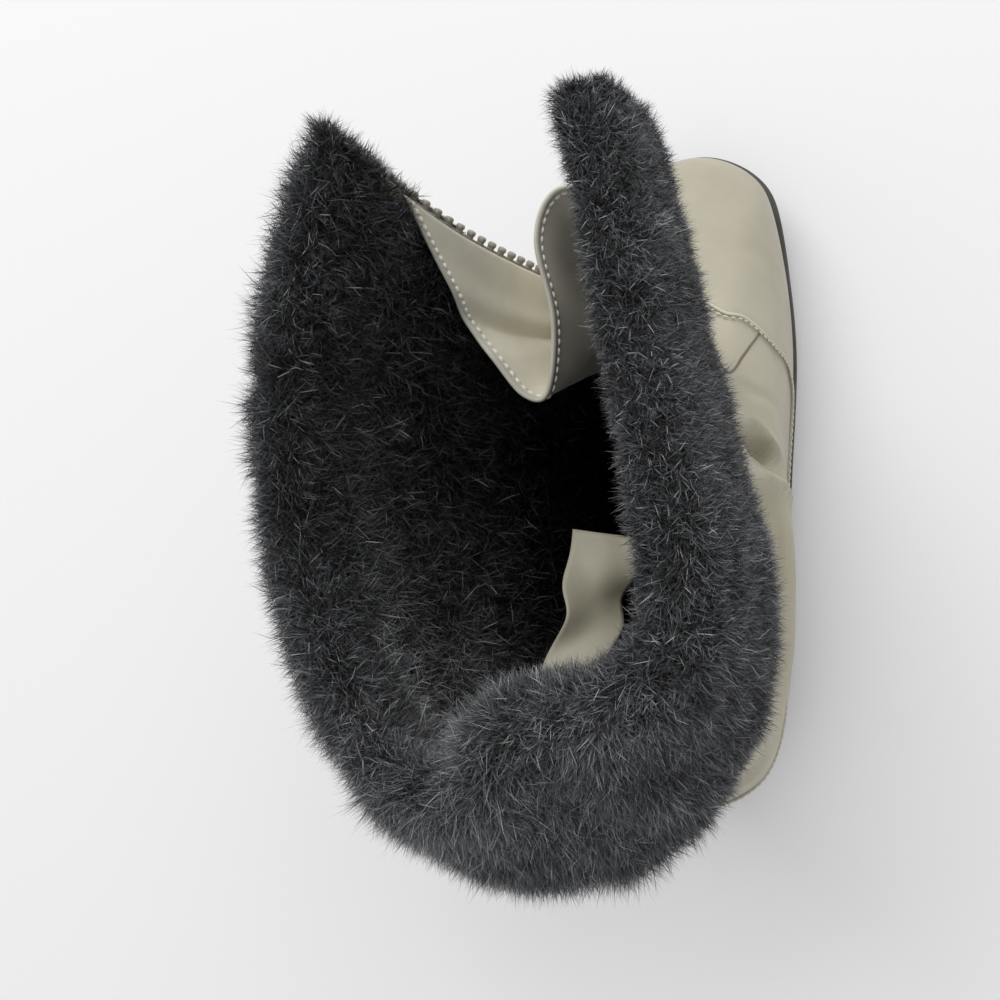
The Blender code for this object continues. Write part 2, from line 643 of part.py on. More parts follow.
def make_slider(parts, cutters):
    """Slider with a wire bridge, and its pull tab with a window round the bridge."""
    seat = slider_place()
    body = bmesh.new()
    verts = bmesh.ops.create_cube(body, size=1.0)["verts"]
    bmesh.ops.scale(body, vec=SLIDER_SIZE, verts=verts)
    bmesh.ops.translate(body, vec=(0.0, 0.0, SLIDER_SIZE[2] / 2.0), verts=verts)
    bmesh.ops.bevel(body, geom=body.edges[:], offset=SLIDER_BEVEL, segments=1, affect="EDGES", material=-1)
    slider = make_object("zip_slider", body, "zip metal", parts)
    slider.matrix_world = seat

    bpy.ops.mesh.primitive_torus_add(
        major_segments=BRIDGE_STEPS[0],
        minor_segments=BRIDGE_STEPS[1],
        major_radius=BRIDGE_RADIUS * MM,
        minor_radius=BRIDGE_WIRE * MM,
    )
    bridge = bpy.context.object
    bridge.name = "slider bridge"
    for owner in bridge.users_collection:
        owner.objects.unlink(bridge)
    cutters.objects.link(bridge)
    upright = Matrix.Rotation(math.pi / 2.0, 4, "Y")
    bridge.matrix_world = seat @ Matrix.Translation((0.0, 0.0, SLIDER_SIZE[2] * MM)) @ upright
    bridge.hide_render = True
    bridge.display_type = "WIRE"
    fuse = slider.modifiers.new("bridge", "BOOLEAN")
    fuse.operation = "UNION"
    fuse.object = bridge

    pin = seat @ Matrix.Translation((0.0, 0.0, (SLIDER_SIZE[2] + PIN_HEIGHT) * MM))
    pin = pin @ Matrix.Rotation(PULL_REST, 4, "X")
    tab = bmesh.new()
    verts = bmesh.ops.create_cube(tab, size=1.0)["verts"]
    bmesh.ops.scale(tab, vec=(PULL_WIDTH, PULL_LENGTH, PULL_WALL), verts=verts)
    bmesh.ops.translate(tab, vec=(0.0, PULL_LENGTH / 2.0 - PULL_WALL / 2.0, 0.0), verts=verts)
    corners = [edge for edge in tab.edges if edge.verts[0].co.z * edge.verts[1].co.z < 0.0]
    bmesh.ops.bevel(
        tab,
        geom=corners,
        offset=PULL_CORNER,
        segments=PULL_CORNER_STEPS,
        profile=0.5,
        affect="EDGES",
        material=-1,
    )
    pull = make_object("zip_pull", tab, "zip metal", parts)
    pull.matrix_world = pin

    hole = bmesh.new()
    verts = bmesh.ops.create_cube(hole, size=1.0)["verts"]
    bmesh.ops.scale(hole, vec=(*PULL_WINDOW, 4.0 * PULL_WALL), verts=verts)
    bmesh.ops.translate(hole, vec=(0.0, (PULL_WALL + PULL_WINDOW[1]) / 2.0, 0.0), verts=verts)
    window = make_object("pull window", hole, "zip metal", cutters)
    window.matrix_world = pin
    window.hide_render = True
    window.display_type = "WIRE"
    cut = pull.modifiers.new("window", "BOOLEAN")
    cut.operation = "DIFFERENCE"
    cut.object = window


def main():
    for obj in list(bpy.data.objects):
        bpy.data.objects.remove(obj)
    parts = bpy.data.collections.new("winter boot")
    cutters = bpy.data.collections.new("cutters")
    bpy.context.scene.collection.children.link(parts)
    bpy.context.scene.collection.children.link(cutters)
    make_outsole(parts, cutters)
    make_insole(parts)
    make_upper(parts)
    make_gusset(parts)
    make_fur_lining(parts)
    make_fur_cuff(parts)
    make_zip("outer", parts)
    make_zip("inner", parts)
    make_label(parts)
    make_slider(parts, cutters)


main()
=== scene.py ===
"""Looks of the front-zip winter boot: its leather, seams, gusset, zip, label and fur.

The tables of the last, shaft and sole are those of the part's source, in millimetres, so every
skin keeps the solids' form, and a station round the boot with a level up its wall places each
seam, stitch, crease and hair. The gusset's table follows its solid too, apart from its hem's outer
run, which hangs a few millimetres from it.
"""

import math

import bmesh
import bpy
import numpy as np
from mathutils import Matrix, Vector, noise
from mathutils.bvhtree import BVHTree


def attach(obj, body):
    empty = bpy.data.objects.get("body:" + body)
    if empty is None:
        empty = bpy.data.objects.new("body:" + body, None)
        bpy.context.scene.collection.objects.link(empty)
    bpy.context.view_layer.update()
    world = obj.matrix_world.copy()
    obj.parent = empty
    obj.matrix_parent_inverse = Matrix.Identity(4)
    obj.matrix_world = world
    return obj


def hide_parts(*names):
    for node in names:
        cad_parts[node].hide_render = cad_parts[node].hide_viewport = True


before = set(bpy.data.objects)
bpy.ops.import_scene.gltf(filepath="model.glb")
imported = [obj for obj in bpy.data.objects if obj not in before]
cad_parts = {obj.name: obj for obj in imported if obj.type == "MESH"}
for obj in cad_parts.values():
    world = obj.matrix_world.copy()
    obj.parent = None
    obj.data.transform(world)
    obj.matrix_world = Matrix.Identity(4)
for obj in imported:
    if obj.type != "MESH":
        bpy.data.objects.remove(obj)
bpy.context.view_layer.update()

# Keeps the fur's locks the same at every run
LOCKS_SEED = 23
noise.seed_set(LOCKS_SEED)

MM = 0.001

# Driving dimensions of the last and the sole
LAST_LENGTH = 278.5
LAST_WIDTH = 93.0
HEEL_BACK_Y = -35.0
HEEL_TOP = 29.0
BALL_TOP = 20.0
TOE_TOP = 26.5
HEEL_SLOPE = (30.0, 120.0)
TOE_SLOPE = (185.0, 247.0)
TOE_SPRING = 9.0
SPRING_SLOPE = (194.0, 247.0)
SPRING_EASE = 1.4
ARCH_RISE = 7.0
ARCH_SLOPES = (40.0, 58.0, 92.0, 118.0)
HEEL_ROLL = 2.5
HEEL_ROLL_SLOPE = (-38.0, -22.0)
LUG_DEPTH = 3.5
GROOVE_WIDTH = 5.0
GROOVE_SWEEP = 9.0
HEEL_GROOVES = (-17.0, 9.0, 26.0)
BALL_GROOVES = (124.0, 141.0, 158.0, 175.0, 192.0, 209.0)

# Walls and clearances
GAP = 0.3
SOFT_GAP = 0.4
UPPER_SEAT = 0.4
UPPER_WALL = 2.0
SEAM_STEP = 1.2
SEAM_HALF = 0.05
SEAM_SAMPLES = 100
INSOLE_THICK = 4.0
INSOLE_INSET = 3.2
LINING_PILE = 7.5
CUFF_ENDS = (9.0, 1.5)
GUSSET_WALL = 1.4
GUSSET_FOOT = 5.3
GUSSET_HEM = (7.55, 7.06)
GUSSET_ROWS = 8
GUSSET_COLUMNS = 29
TAPE_WALL = 0.9
TAPE_GAP = 0.8
TAPE_HIDDEN = 3.2
ZIP_LEVELS = (5.42, 7.75)
TOOTH_PITCH = 5.3
ZIP_SAMPLES = 200
EDGE_STEP = 0.12
LABEL_STATIONS = (6.55, 7.3)
LABEL_LEVEL = 7.5
LABEL_END = ((0.5, 80.0, 215.0), (-24.0, 83.0, 215.0))

# Stations round the boot, from the front over the inner side and the heel to the front again:
# along is a share of the last's length from heel to toe, across a share of its width
LAST_STATIONS = (
    ("toe tip", 1.000, -0.043),
    ("toe inner", 0.970, 0.215),
    ("joint inner", 0.894, 0.333),
    ("ball inner", 0.700, 0.409),
    ("waist inner", 0.442, 0.385),
    ("heel inner", 0.190, 0.392),
    ("heel corner inner", 0.054, 0.296),
    ("heel back", 0.000, 0.043),
    ("heel corner outer", 0.054, -0.210),
    ("heel outer", 0.183, -0.317),
    ("waist outer", 0.406, -0.441),
    ("ball outer", 0.664, -0.591),
    ("joint outer", 0.837, -0.516),
    ("toe outer", 0.955, -0.333),
    ("toe tip", 1.000, -0.043),
)

# Closed loops of the foot: where the front and the back lie, how far they stand above the
# line of the sole's top, the width at both ends and how far the loop follows the sole's dip
FOOT_LEVELS = (
    # name, front_y, front_rise, back_y, back_rise, back_width, front_width, follow
    ("feather", 243.5, 0.3, -35.0, 0.3, 1.00, 1.00, 1.0),
    ("bulge", 245.0, 12.0, -38.0, 17.0, 1.05, 1.03, 0.9),
    ("shoulder", 235.0, 27.0, -38.5, 33.0, 1.08, 0.95, 0.7),
    ("toe top", 207.0, 40.0, -36.0, 51.0, 1.10, 0.84, 0.5),
    ("instep", 181.0, 56.0, -29.0, 70.0, 1.08, 0.72, 0.3),
    ("throat", 156.0, 73.0, -22.0, 89.0, 1.00, 0.60, 0.1),
)

# Open loops of the shaft at the same stations: the cuff's lower line and the collar's rim.
# The shaft is slack: the outer flap falls open and the inner back folds in
SHAFT_STATIONS = (
    # cuff_x, cuff_y, cuff_z, rim_x, rim_y, rim_z
    (0.0, 188.0, 236.0, -6.0, 194.0, 284.0),
    (5.0, 165.0, 234.0, 0.0, 164.0, 287.0),
    (13.0, 136.0, 232.0, 7.0, 128.0, 288.0),
    (20.0, 106.0, 229.0, 15.0, 94.0, 287.0),
    (28.0, 76.0, 227.0, 20.0, 68.0, 285.0),
    (29.0, 40.0, 226.0, 14.0, 46.0, 282.0),
    (17.0, 7.0, 225.0, -4.0, 35.0, 278.0),
    (-5.0, -11.0, 224.0, -27.0, 29.0, 273.0),
    (-31.0, -17.0, 223.0, -47.0, 8.0, 267.0),
    (-54.0, -5.0, 222.0, -68.0, 14.0, 263.0),
    (-70.0, 22.0, 221.0, -88.0, 44.0, 262.0),
    (-80.0, 58.0, 221.0, -99.0, 86.0, 264.0),
    (-84.0, 98.0, 221.0, -99.0, 124.0, 268.0),
    (-76.0, 142.0, 224.0, -92.0, 161.0, 272.0),
    (-57.0, 176.0, 232.0, -80.0, 193.0, 274.0),
)

# Soft folds of the slack ankle, pushed out from the wall
ANKLE_FOLDS = (
    # name, station, level, station_spread, level_spread, out
    ("inner ankle puff", 3.9, 3.9, 1.0, 0.9, 11.0),
    ("outer ankle puff", 10.3, 4.4, 1.1, 0.8, 6.0),
    ("heel tuck", 7.0, 5.9, 2.2, 0.5, -4.0),
)

# Top edge of the raised leather, from the instep to the heel and the same on the other side:
# the vamp falls to the waist, a low rand joins it to the counter, and the counter rises
SEAM_LINE = (
    # name, station, level
    ("instep", 0.0, 4.15),
    ("instep side", 1.1, 4.2),
    ("vamp side", 2.2, 3.55),
    ("vamp fall", 2.9, 2.4),
    ("vamp foot", 3.5, 0.8),
    ("rand", 4.5, 0.55),
    ("counter foot", 5.2, 0.9),
    ("counter front", 5.8, 2.2),
    ("counter top", 7.0, 2.9),
)

# The sole's side, from the tread up: how far out of the feather line and the share of its height
SOLE_SIDE = (
    # name, out, share
    ("tread edge", -1.5, 0.00),
    ("tread side", 0.8, 0.14),
    ("wall foot", 1.8, 0.30),
    ("wall top", 2.4, 0.64),
    ("groove foot", 1.0, 0.68),
    ("groove top", 1.0, 0.76),
    ("rim foot", 3.2, 0.80),
    ("rim top", 3.2, 0.96),
    ("top edge", 2.6, 1.00),
)

# The gusset's hem between the two flaps, from the outer one to the inner one
GUSSET_FOLDS = (
    # name, x, y, z
    ("outer panel", -57.6, 152.0, 226.0),
    ("panel foot", -48.0, 136.9, 220.5),
    ("valley outer", -39.5, 126.4, 217.0),
    ("valley inner", -32.0, 127.4, 217.0),
    ("inner panel", -29.0, 150.0, 222.0),
    ("roll back", -33.0, 175.0, 229.0),
    ("roll front", -25.0, 189.0, 233.0),
)

LAST_STATION = len(LAST_STATIONS) - 1
THROAT = len(FOOT_LEVELS) - 1
CUFF = THROAT + 2
RIM = THROAT + 3


def smooth(low, high, value):
    """Eased step from 0 at low to 1 at high."""
    share = np.clip((value - low) / (high - low), 0.0, 1.0)
    return share * share * (3.0 - 2.0 * share)


def unit(vectors):
    """Vectors brought to a length of one."""
    return vectors / np.maximum(np.linalg.norm(vectors, axis=-1, keepdims=True), 1e-9)


def sole_top(y):
    """Height of the outsole's upper face at a place along the foot."""
    heel = (HEEL_TOP - BALL_TOP) * (1.0 - smooth(*HEEL_SLOPE, y))
    return BALL_TOP + heel + (TOE_TOP - BALL_TOP) * smooth(*TOE_SLOPE, y)


def sole_bottom(y):
    """Height of the tread: flat under heel and ball, raised at the arch, toe and heel edge."""
    arch = smooth(ARCH_SLOPES[0], ARCH_SLOPES[1], y) - smooth(ARCH_SLOPES[2], ARCH_SLOPES[3], y)
    roll = HEEL_ROLL * (1.0 - smooth(*HEEL_ROLL_SLOPE, y))
    return ARCH_RISE * arch + TOE_SPRING * smooth(*SPRING_SLOPE, y) ** SPRING_EASE + roll


def foot_loop(level):
    """Station points of one closed loop of the foot."""
    _, front_y, front_rise, back_y, back_rise, back_width, front_width, follow = level
    along = np.array([row[1] for row in LAST_STATIONS])
    across = np.array([row[2] for row in LAST_STATIONS]) * LAST_WIDTH
    line = HEEL_TOP + (TOE_TOP - HEEL_TOP) * along
    dip = sole_top(HEEL_BACK_Y + along * LAST_LENGTH) - line
    x = across * (back_width + (front_width - back_width) * along)
    y = back_y + (front_y - back_y) * along
    z = line + follow * dip + back_rise + (front_rise - back_rise) * along
    return np.stack([x, y, z], axis=1)


def build_levels():
    """Control points of the wall, level by station: the foot's loops, mid shaft, cuff and rim."""
    foot = [foot_loop(level) for level in FOOT_LEVELS]
    shaft = np.array(SHAFT_STATIONS)
    cuff, rim = shaft[:, :3], shaft[:, 3:]
    levels = np.array(foot + [(foot[-1] + cuff) / 2.0, cuff, rim])
    station = np.arange(LAST_STATION + 1)[None, :]
    row = np.arange(len(levels))[:, None]
    centre = levels.mean(axis=1, keepdims=True)
    outward = levels - centre
    outward[..., 2] = 0.0
    outward = unit(outward)
    for _, at, level, spread, level_spread, out in ANKLE_FOLDS:
        weight = np.exp(-(((station - at) / spread) ** 2) - ((row - level) / level_spread) ** 2)
        levels = levels + outward * (out * weight)[..., None]
    return levels


LEVELS = build_levels()


def cubic(before, start, end, after, share):
    """Smooth curve from start to end that also heeds the points beside them."""
    slope_in, slope_out = (end - before) / 2.0, (after - start) / 2.0
    span = end - start
    bend = 3.0 * span - 2.0 * slope_in - slope_out
    return start + share * (slope_in + share * (bend + share * (slope_in + slope_out - 2.0 * span)))


def through(points, places):
    """Points on a smooth open curve through the given points."""
    padded = np.concatenate([2 * points[:1] - points[1:2], points, 2 * points[-1:] - points[-2:-1]])
    index = np.clip(np.floor(places).astype(int), 0, len(points) - 2)
    share = (places - index)[:, None]
    return cubic(*(padded[index + k] for k in range(4)), share)


def rings(stations):
    """Every level's curve at the given stations; the foot's loops close at the front."""
    before = 2 * LEVELS[:, :1] - LEVELS[:, 1:2]
    after = 2 * LEVELS[:, -1:] - LEVELS[:, -2:-1]
    before[: THROAT + 1] = LEVELS[: THROAT + 1, -2:-1]
    after[: THROAT + 1] = LEVELS[: THROAT + 1, 1:2]
    padded = np.concatenate([before, LEVELS, after], axis=1)
    index = np.clip(np.floor(stations).astype(int), 0, LAST_STATION - 1)
    share = (stations - index)[None, :, None]
    return cubic(*(padded[:, index + k] for k in range(4)), share)


def wall(stations, levels):
    """Outer face of the upper, row by column; levels is one row list or a table by column."""
    loops = rings(stations)
    padded = np.concatenate([2 * loops[:1] - loops[1:2], loops, 2 * loops[-1:] - loops[-2:-1]])
    if levels.ndim == 1:
        levels = np.repeat(levels[:, None], len(stations), axis=1)
    index = np.clip(np.floor(levels).astype(int), 0, RIM - 1)
    share = (levels - index)[..., None]
    column = np.arange(len(stations))[None, :]
    return cubic(*(padded[index + k, column] for k in range(4)), share)


def wall_frame(stations, levels):
    """Points of the wall with its outward normals and its upward direction."""
    step = 0.05
    points = wall(stations, levels)
    low, high = np.clip(stations - step, 0, LAST_STATION), np.clip(stations + step, 0, LAST_STATION)
    around = wall(high, levels) - wall(low, levels)
    up = wall(stations, np.minimum(levels + step, RIM)) - wall(stations, np.maximum(levels - step, 0))
    return points, unit(np.cross(up, around)), unit(up)


def add_sheet(bm, points, flip):
    """Grid of quads through a table of points, row by column; returns its vertices as a table."""
    rows, columns = points.shape[:2]
    made = bmesh.ops.create_grid(bm, x_segments=columns - 1, y_segments=rows - 1, size=1.0)
    verts = made["verts"]
    for vert, place in zip(verts, points.reshape(-1, 3)):
        vert.co = place
    if flip:
        bmesh.ops.reverse_faces(bm, faces=list({face for vert in verts for face in vert.link_faces}))
    return [verts[row * columns:(row + 1) * columns] for row in range(rows)]


def close_loop(bm, loop):
    """Cap a foot-shaped loop with rungs from its inner side to its outer side."""
    half = len(loop) // 2
    bm.faces.new((loop[0], loop[1], loop[-1]))
    for k in range(1, half - 1):
        bm.faces.new((loop[k], loop[k + 1], loop[-k - 1], loop[-k]))
    bm.faces.new((loop[half - 1], loop[half], loop[half + 1]))


def foot_solid(rows):
    """Closed solid from foot-shaped loops stacked from the bottom to the top."""
    bm = bmesh.new()
    table = add_sheet(bm, np.concatenate([rows, rows[:, :1]], axis=1), flip=True)
    bmesh.ops.weld_verts(bm, targetmap={row[-1]: row[0] for row in table})
    close_loop(bm, table[0][:-1])
    close_loop(bm, table[-1][:-1])
    bmesh.ops.recalc_face_normals(bm, faces=bm.faces)
    return bm


def feather_plan():
    """Feather line seen from above, with its outward directions, as a closed loop."""
    loop = rings(SKIN_COLUMNS)[0][:-1, :2]
    ahead = unit(np.roll(loop, -1, axis=0) - np.roll(loop, 1, axis=0))
    return loop, np.stack([-ahead[:, 1], ahead[:, 0]], axis=1)


def flap_edge(front, levels, inside):
    """Points just inside a flap's front edge, with the directions away from the flap and outward."""
    station = np.array([0.0 if front == "inner" else float(LAST_STATION)])
    back = np.array([EDGE_STEP if front == "inner" else LAST_STATION - EDGE_STEP])
    points, normals, _ = wall_frame(station, levels)
    behind = wall(back, levels)
    away = unit(points[:, 0] - behind[:, 0])
    return points[:, 0] - inside * normals[:, 0], away, normals[:, 0]


# The leather skin: its grid, its creases, and slack waves by size, height and more of it higher up
SKIN_COLUMNS = np.linspace(0.0, LAST_STATION, LAST_STATION * 16 + 1)
SKIN_ROWS_BELOW = 34
SKIN_ROWS_TO_THROAT = 60
SKIN_ROWS_SHAFT = 44
SLACK_WAVE = (34.0, 0.35, 1.10)
SLACK_RIPPLE = (13.0, 0.10, 0.25)
SLACK_HEIGHTS = (60.0, 120.0)
SLACK_START = (0.3, 1.6)
SLACK_END = (7.2, 7.8)
CREASE_SAMPLES = 28
CREASE_FADE = 0.6

# The step of the raised leather, with its bead, and the placket seam
STEP_FOOT = 0.4
STEP_PLACES = (-0.1, 0.35)
STEP_SHARES = (0.85, 0.2)
STEP_START = (0.4, 1.6)
SEAT_RISE = 0.1
BEAD_RADIUS = 0.75
PLACKET_RADIUS = 0.55
SEAM_LINE_SAMPLES = 700
PLACKET_SAMPLES = 90
TUBE_SIDES = 8

# Stitches: pitch and radius of each row, how far from its edge and how high it lies
SEAM_STITCHES = (3.0, 0.42)
SEAM_STITCH_DROP = 1.7
SEAM_STITCH_LIFT = 0.1
HEM_STITCHES = (3.0, 0.60)
HEM_STITCH = 2.6
HEM_STITCH_LIFT = 0.6
STITCH_FILL = 0.8
STITCH_SPREAD = 1.1

# Sole, insole and the fleece inside the foot
SOLE_SHARES = (0.0, 0.12, 0.5, 0.88)
SHARP_ANGLE = math.radians(32.0)
TOE_RIM = 2.2
INSOLE_EDGE = 1.2
INSOLE_ROUND = 1.0
FLEECE_DEPTH = 2.6
FLEECE_WALL = 2.0
FLEECE_LEVELS = (0.55, 5.6, 34)

# Gusset, its hem, and how far past the hem hairs are kept off it
GUSSET_WAVE = (22.0, 1.6)
GUSSET_SHEET = 1.0
GUARD_EDGE = (0.03, 0.07)
GUARD_REACH = (4.0, 8.0, 12.0)
HEM_SPAN = 7
HEM_DEPTH = 1.5
HEM_WALL = 0.3

# Zip tapes with their teeth, and the label
TAPE_FOOT = 5.03
TAPE_FREE = 1.5
TOOTH_NECK = (2.6, 1.5, 1.9)
TOOTH_HEAD = (1.7, 2.5, 2.5)
TOOTH_PLACES = (0.6, 2.5)
TOOTH_EASE = 0.5
TOOTH_SHIFTS = {"outer": 0.25, "inner": 0.75}
TOOTH_SEAT = 0.4
LABEL_SHEET = 0.45
LABEL_GRID = (41, 17)

# Hairs: fine straight ones and bent ones, the locks that they gather in, and their tones
FINE_WIDTH = 0.22
FINE_SHARE = 0.6
FINE_TURN = 0.6
HAIR_WIDTH = 0.27
HAIR_BEND = 0.55
HAIR_LEAD = 0.25
HAIR_LOCKS = ((17.0, 0.60), (6.5, 0.65), (2.6, 0.70))
HAIR_STRAY = 0.50
HAIR_CURL = 1.1
HAIR_CURLS = (40.0, 5.0)
HAIR_RISE = 0.2
HAIR_UNEVEN = 0.14
HAIR_TUFTS = ((80.0, 6.0, 0.40), (160.0, 18.0, 0.35))
HAIR_ROOM = 100.0
HAIR_CLEAR = 1.0
HAIR_LEAST = 0.5
TONES = 48
TONE_CLOUD = (22.0, 0.14)
TONE_SPREAD = 0.28
CUFF_HAIRS = 125000
LINING_HAIRS = 64000
FUR_BACKING = 0.8

# Lining: its span, and its hairs' length, trim and comb at the inner and outer flap, and tones, with
# painted shade deep in the shaft and painted light at the heel
LINING_DEPTH = 1.8
LINING_EDGES = (0.16, 0.06)
LINING_LEVELS = (5.05, 7.66, 47)
LINING_COLUMNS = 221
LINING_LENGTH = 11.0
LINING_TRIMS = (6.5, 4.0)
LINING_ASIDE = (0.8, 0.3)
LINING_SHADE_AND_LIGHT = (0.05, 0.16, 0.67)
LINING_HEEL_LIGHT = (9.6, 1.7)
LABEL_THIN = 0.35

# Camera in millimetres, floor and daylight
CAMERA_PLACE = (58.0, 94.5, 630.0)
CAMERA_AIM = (-70.0, 92.0, 130.0)
CAMERA_LENS = 47.0
LIGHT_AIM = Vector((-0.02, 0.09, 0.1))
FLOOR_HALF = 6.0
FLOOR_TONE = (0.80, 0.79, 0.795, 1.0)
SKY_TONE = (0.97, 0.985, 1.0, 1.0)
SKY_STRENGTH = 0.64

# Soft lights over the toe's side
LIGHTS = (
    # name, place, size, power
    ("window", (-0.95, 1.85, 2.45), 2.1, 46.0),
    ("room", (0.75, 1.95, 2.45), 2.1, 28.0),
)

# Creases of the leather, soft troughs below zero and ridges above, along stations and levels
CREASES = (
    # name, half width, height, path
    ("instep wrinkle", 2.4, -1.5, ((1.95, 4.90), (2.36, 4.49), (2.61, 4.21), (2.90, 3.75))),
    ("instep ridge", 2.2, 3.4, ((2.36, 5.32), (2.50, 4.90), (2.79, 4.53), (3.04, 4.26), (3.42, 3.58))),
    ("ankle hollow", 3.5, -11.0, ((2.50, 5.45), (2.80, 4.82), (3.00, 4.52), (3.17, 4.22), (3.35, 3.75))),
    ("ankle ridge", 3.4, 3.6, ((2.90, 5.40), (3.15, 4.70), (3.32, 4.30), (3.60, 3.50))),
    ("ankle fold", 3.6, -5.0, ((3.10, 5.40), (3.41, 4.62), (3.80, 4.30), (4.40, 4.25), (5.10, 4.35))),
    ("ankle lower ridge", 4.5, 1.5, ((3.40, 4.20), (3.90, 3.95), (4.50, 3.85), (5.20, 4.00))),
    ("heel fold", 5.0, -2.2, ((5.6, 4.90), (6.4, 4.70), (7.2, 4.75), (8.0, 5.00))),
    ("heel ridge", 6.0, 1.6, ((5.7, 4.60), (6.5, 4.40), (7.3, 4.45), (8.0, 4.70))),
    ("outer ankle fold", 4.5, -2.2, ((9.2, 4.80), (9.9, 4.60), (10.7, 4.75), (11.4, 5.10))),
    ("outer ankle ridge", 5.5, 1.5, ((9.3, 4.45), (10.0, 4.25), (10.8, 4.40), (11.5, 4.80))),
    ("outer instep fold", 4.0, -1.8, ((10.6, 4.10), (11.3, 4.50), (12.0, 4.85), (12.6, 4.95))),
    ("inner shaft dent", 9.0, -2.4, ((4.5, 6.40), (5.4, 6.20), (6.2, 6.30), (6.8, 6.60))),
    ("heel shaft crease", 5.5, -1.8, ((7.6, 6.30), (8.4, 6.00), (9.2, 6.05), (9.8, 6.30))),
    ("outer shaft crease", 6.0, -2.0, ((10.2, 6.20), (11.2, 5.90), (12.0, 6.00), (12.6, 6.30))),
    ("vamp flex inner", 3.5, -1.0, ((0.6, 3.05), (1.3, 2.90), (2.0, 2.50), (2.5, 1.90))),
    ("vamp flex outer", 3.5, -1.0, ((11.5, 1.90), (12.0, 2.50), (12.7, 2.90), (13.4, 3.05))),
)

# Straight seam from the vamp up the inner side to the cuff
PLACKET_SEAM = (
    # station, level
    (2.24, 3.55),
    (2.14, 3.91),
    (2.02, 4.24),
    (1.85, 4.58),
    (1.70, 4.96),
    (1.58, 5.60),
    (1.47, 6.40),
    (1.42, 7.05),
)

# Section of the skin under the cuff's fur, from inside the collar over its rim to the hem
CUFF_SKIN = (
    # name, height, rise, out
    ("inner foot", 0.45, 0.0, -5.0),
    ("inner top", 0.93, 0.0, -7.5),
    ("roll inner", 1.00, 5.0, -7.0),
    ("roll top", 1.00, 8.5, -0.5),
    ("roll outer", 1.00, 5.0, 7.0),
    ("upper pile", 0.80, 0.0, 9.0),
    ("middle pile", 0.40, 0.0, 9.0),
    ("lower pile", 0.04, 0.0, 7.5),
    ("hem", -0.05, 0.0, 2.0),
)

# Where the cuff's roll dies out inside, so that the outer side's lining runs on into it
FLAT_STATIONS = (6.6, 8.6)
FLAT_SHARE = 0.5

# Where the roll slims towards the inner flap's end
SLIM_STATIONS = (3.5, 2.0)
SLIM_SHARE = 0.35
CUFF_ROWS = 41
END_SHARE = 0.7

# How strongly the cuff's hairs are combed, by where on the section: over the roll, back behind it,
# down to the hem, past the flaps' ends and over the zip, and how loose the inner side's hairs hang
COMB_OVER = 1.3
COMB_BACK = 0.9
COMB_DOWN = 0.3
COMB_PAST = 0.3
COMB_ZIP = 0.45
COMB_LOOSE = 0.4

# How the cuff's hairs change in length at the zip and in tone round the boot: painted shade inside the
# outer flap and painted light at the heel
HEM_TRIM = 0.75
ZIP_COVER = 0.35
CUFF_TONE = 0.48
CUFF_FLAP_PAINTED_SHADE = 0.30
HEEL_PAINTED_LIGHT = 0.16
HEEL_LIGHT_SPAN = (8.0, 2.2)
TUFT_FAN = 0.035
TUFT_EASE = 0.35
TUFT_LEAST = 0.2

# Lengths of the cuff that carry a piece of its hairs each
CUFF_PIECES = (
    # name, first column, last column
    ("cuff_hair_inner", 0, 80),
    ("cuff_hair_heel", 80, 148),
    ("cuff_hair_outer", 148, 226),
)

# Tufts that close the two ends of the cuff
CUFF_TUFTS = (
    # name, column, way, length, share kept short from the foot up, hairs
    ("cuff_hair_inner_end", 0, -1.0, 5.0, 0.0, 8000),
    ("cuff_hair_outer_end", -1, 1.0, 7.0, 0.3, 10000),
)

# How long the cuff's hairs are round the boot
CUFF_LENGTHS = (
    # station, outer length, inner length
    (0.0, 5.5, 6.5),
    (0.7, 6.0, 5.0),
    (2.5, 6.5, 5.0),
    (4.0, 6.5, 7.5),
    (6.0, 8.5, 8.0),
    (7.0, 10.5, 8.0),
    (9.0, 10.5, 8.0),
    (12.5, 10.0, 8.0),
    (14.0, 7.5, 6.0),
)

# Slider over the foot of the slit, inside the space of its solid, and the ribs across its tab
SLIDER_LEVEL = 5.36
SLIDER_SEAT = 1.2
SLIDER_TOP = 3.6
SLIDER_BARS = (
    # name, size, place, width of the lower end
    ("lower plate", (11.6, 11.8, 1.2), (0.0, 0.0, 0.6), 0.72),
    ("upper plate", (11.6, 11.8, 1.2), (0.0, 0.0, 3.0), 0.72),
    ("wedge", (3.0, 4.6, 1.8), (0.0, -3.2, 1.8), 0.5),
    ("inner flange", (1.0, 7.0, 1.8), (4.4, 2.0, 1.8), 1.0),
    ("outer flange", (1.0, 7.0, 1.8), (-4.4, 2.0, 1.8), 1.0),
)
BRIDGE_RADIUS = 3.0
BRIDGE_WIRE = 0.7
BRIDGE_SINK = 0.2
BRIDGE_SAMPLES = 17
CAST_EASE = 0.22
PIN_HEIGHT = 1.2
PULL_REST = math.radians(13.0)
PULL_RIB = (5.4, 1.1, 1.7)
PULL_RIBS = (11.5, 13.8, 16.1, 18.4, 20.7)

# Sideways sway of the label, and its twist, along its length
LABEL_SWAY = (
    # at, spread, sway
    (0.40, 0.15, -5.7),
    (0.73, 0.12, -2.6),
)
LABEL_TWIST = (0.66, 0.14, 0.87)
LABEL_WAVE = 2.0
LABEL_RIPPLE = (0.5, 5.0, 9.0)

# How far the gusset's two edges lie behind the flaps' edges, the outer one up to the zip's teeth
GUSSET_LAP = (-0.8, 3.0)

# Soft folds across the gusset's outer panel, by the share of its height and of its width
GUSSET_CREASES = (
    # at, slope, width, height
    (0.125, 0.10, 0.018, 0.9),
    (0.085, 0.08, 0.030, -1.6),
)


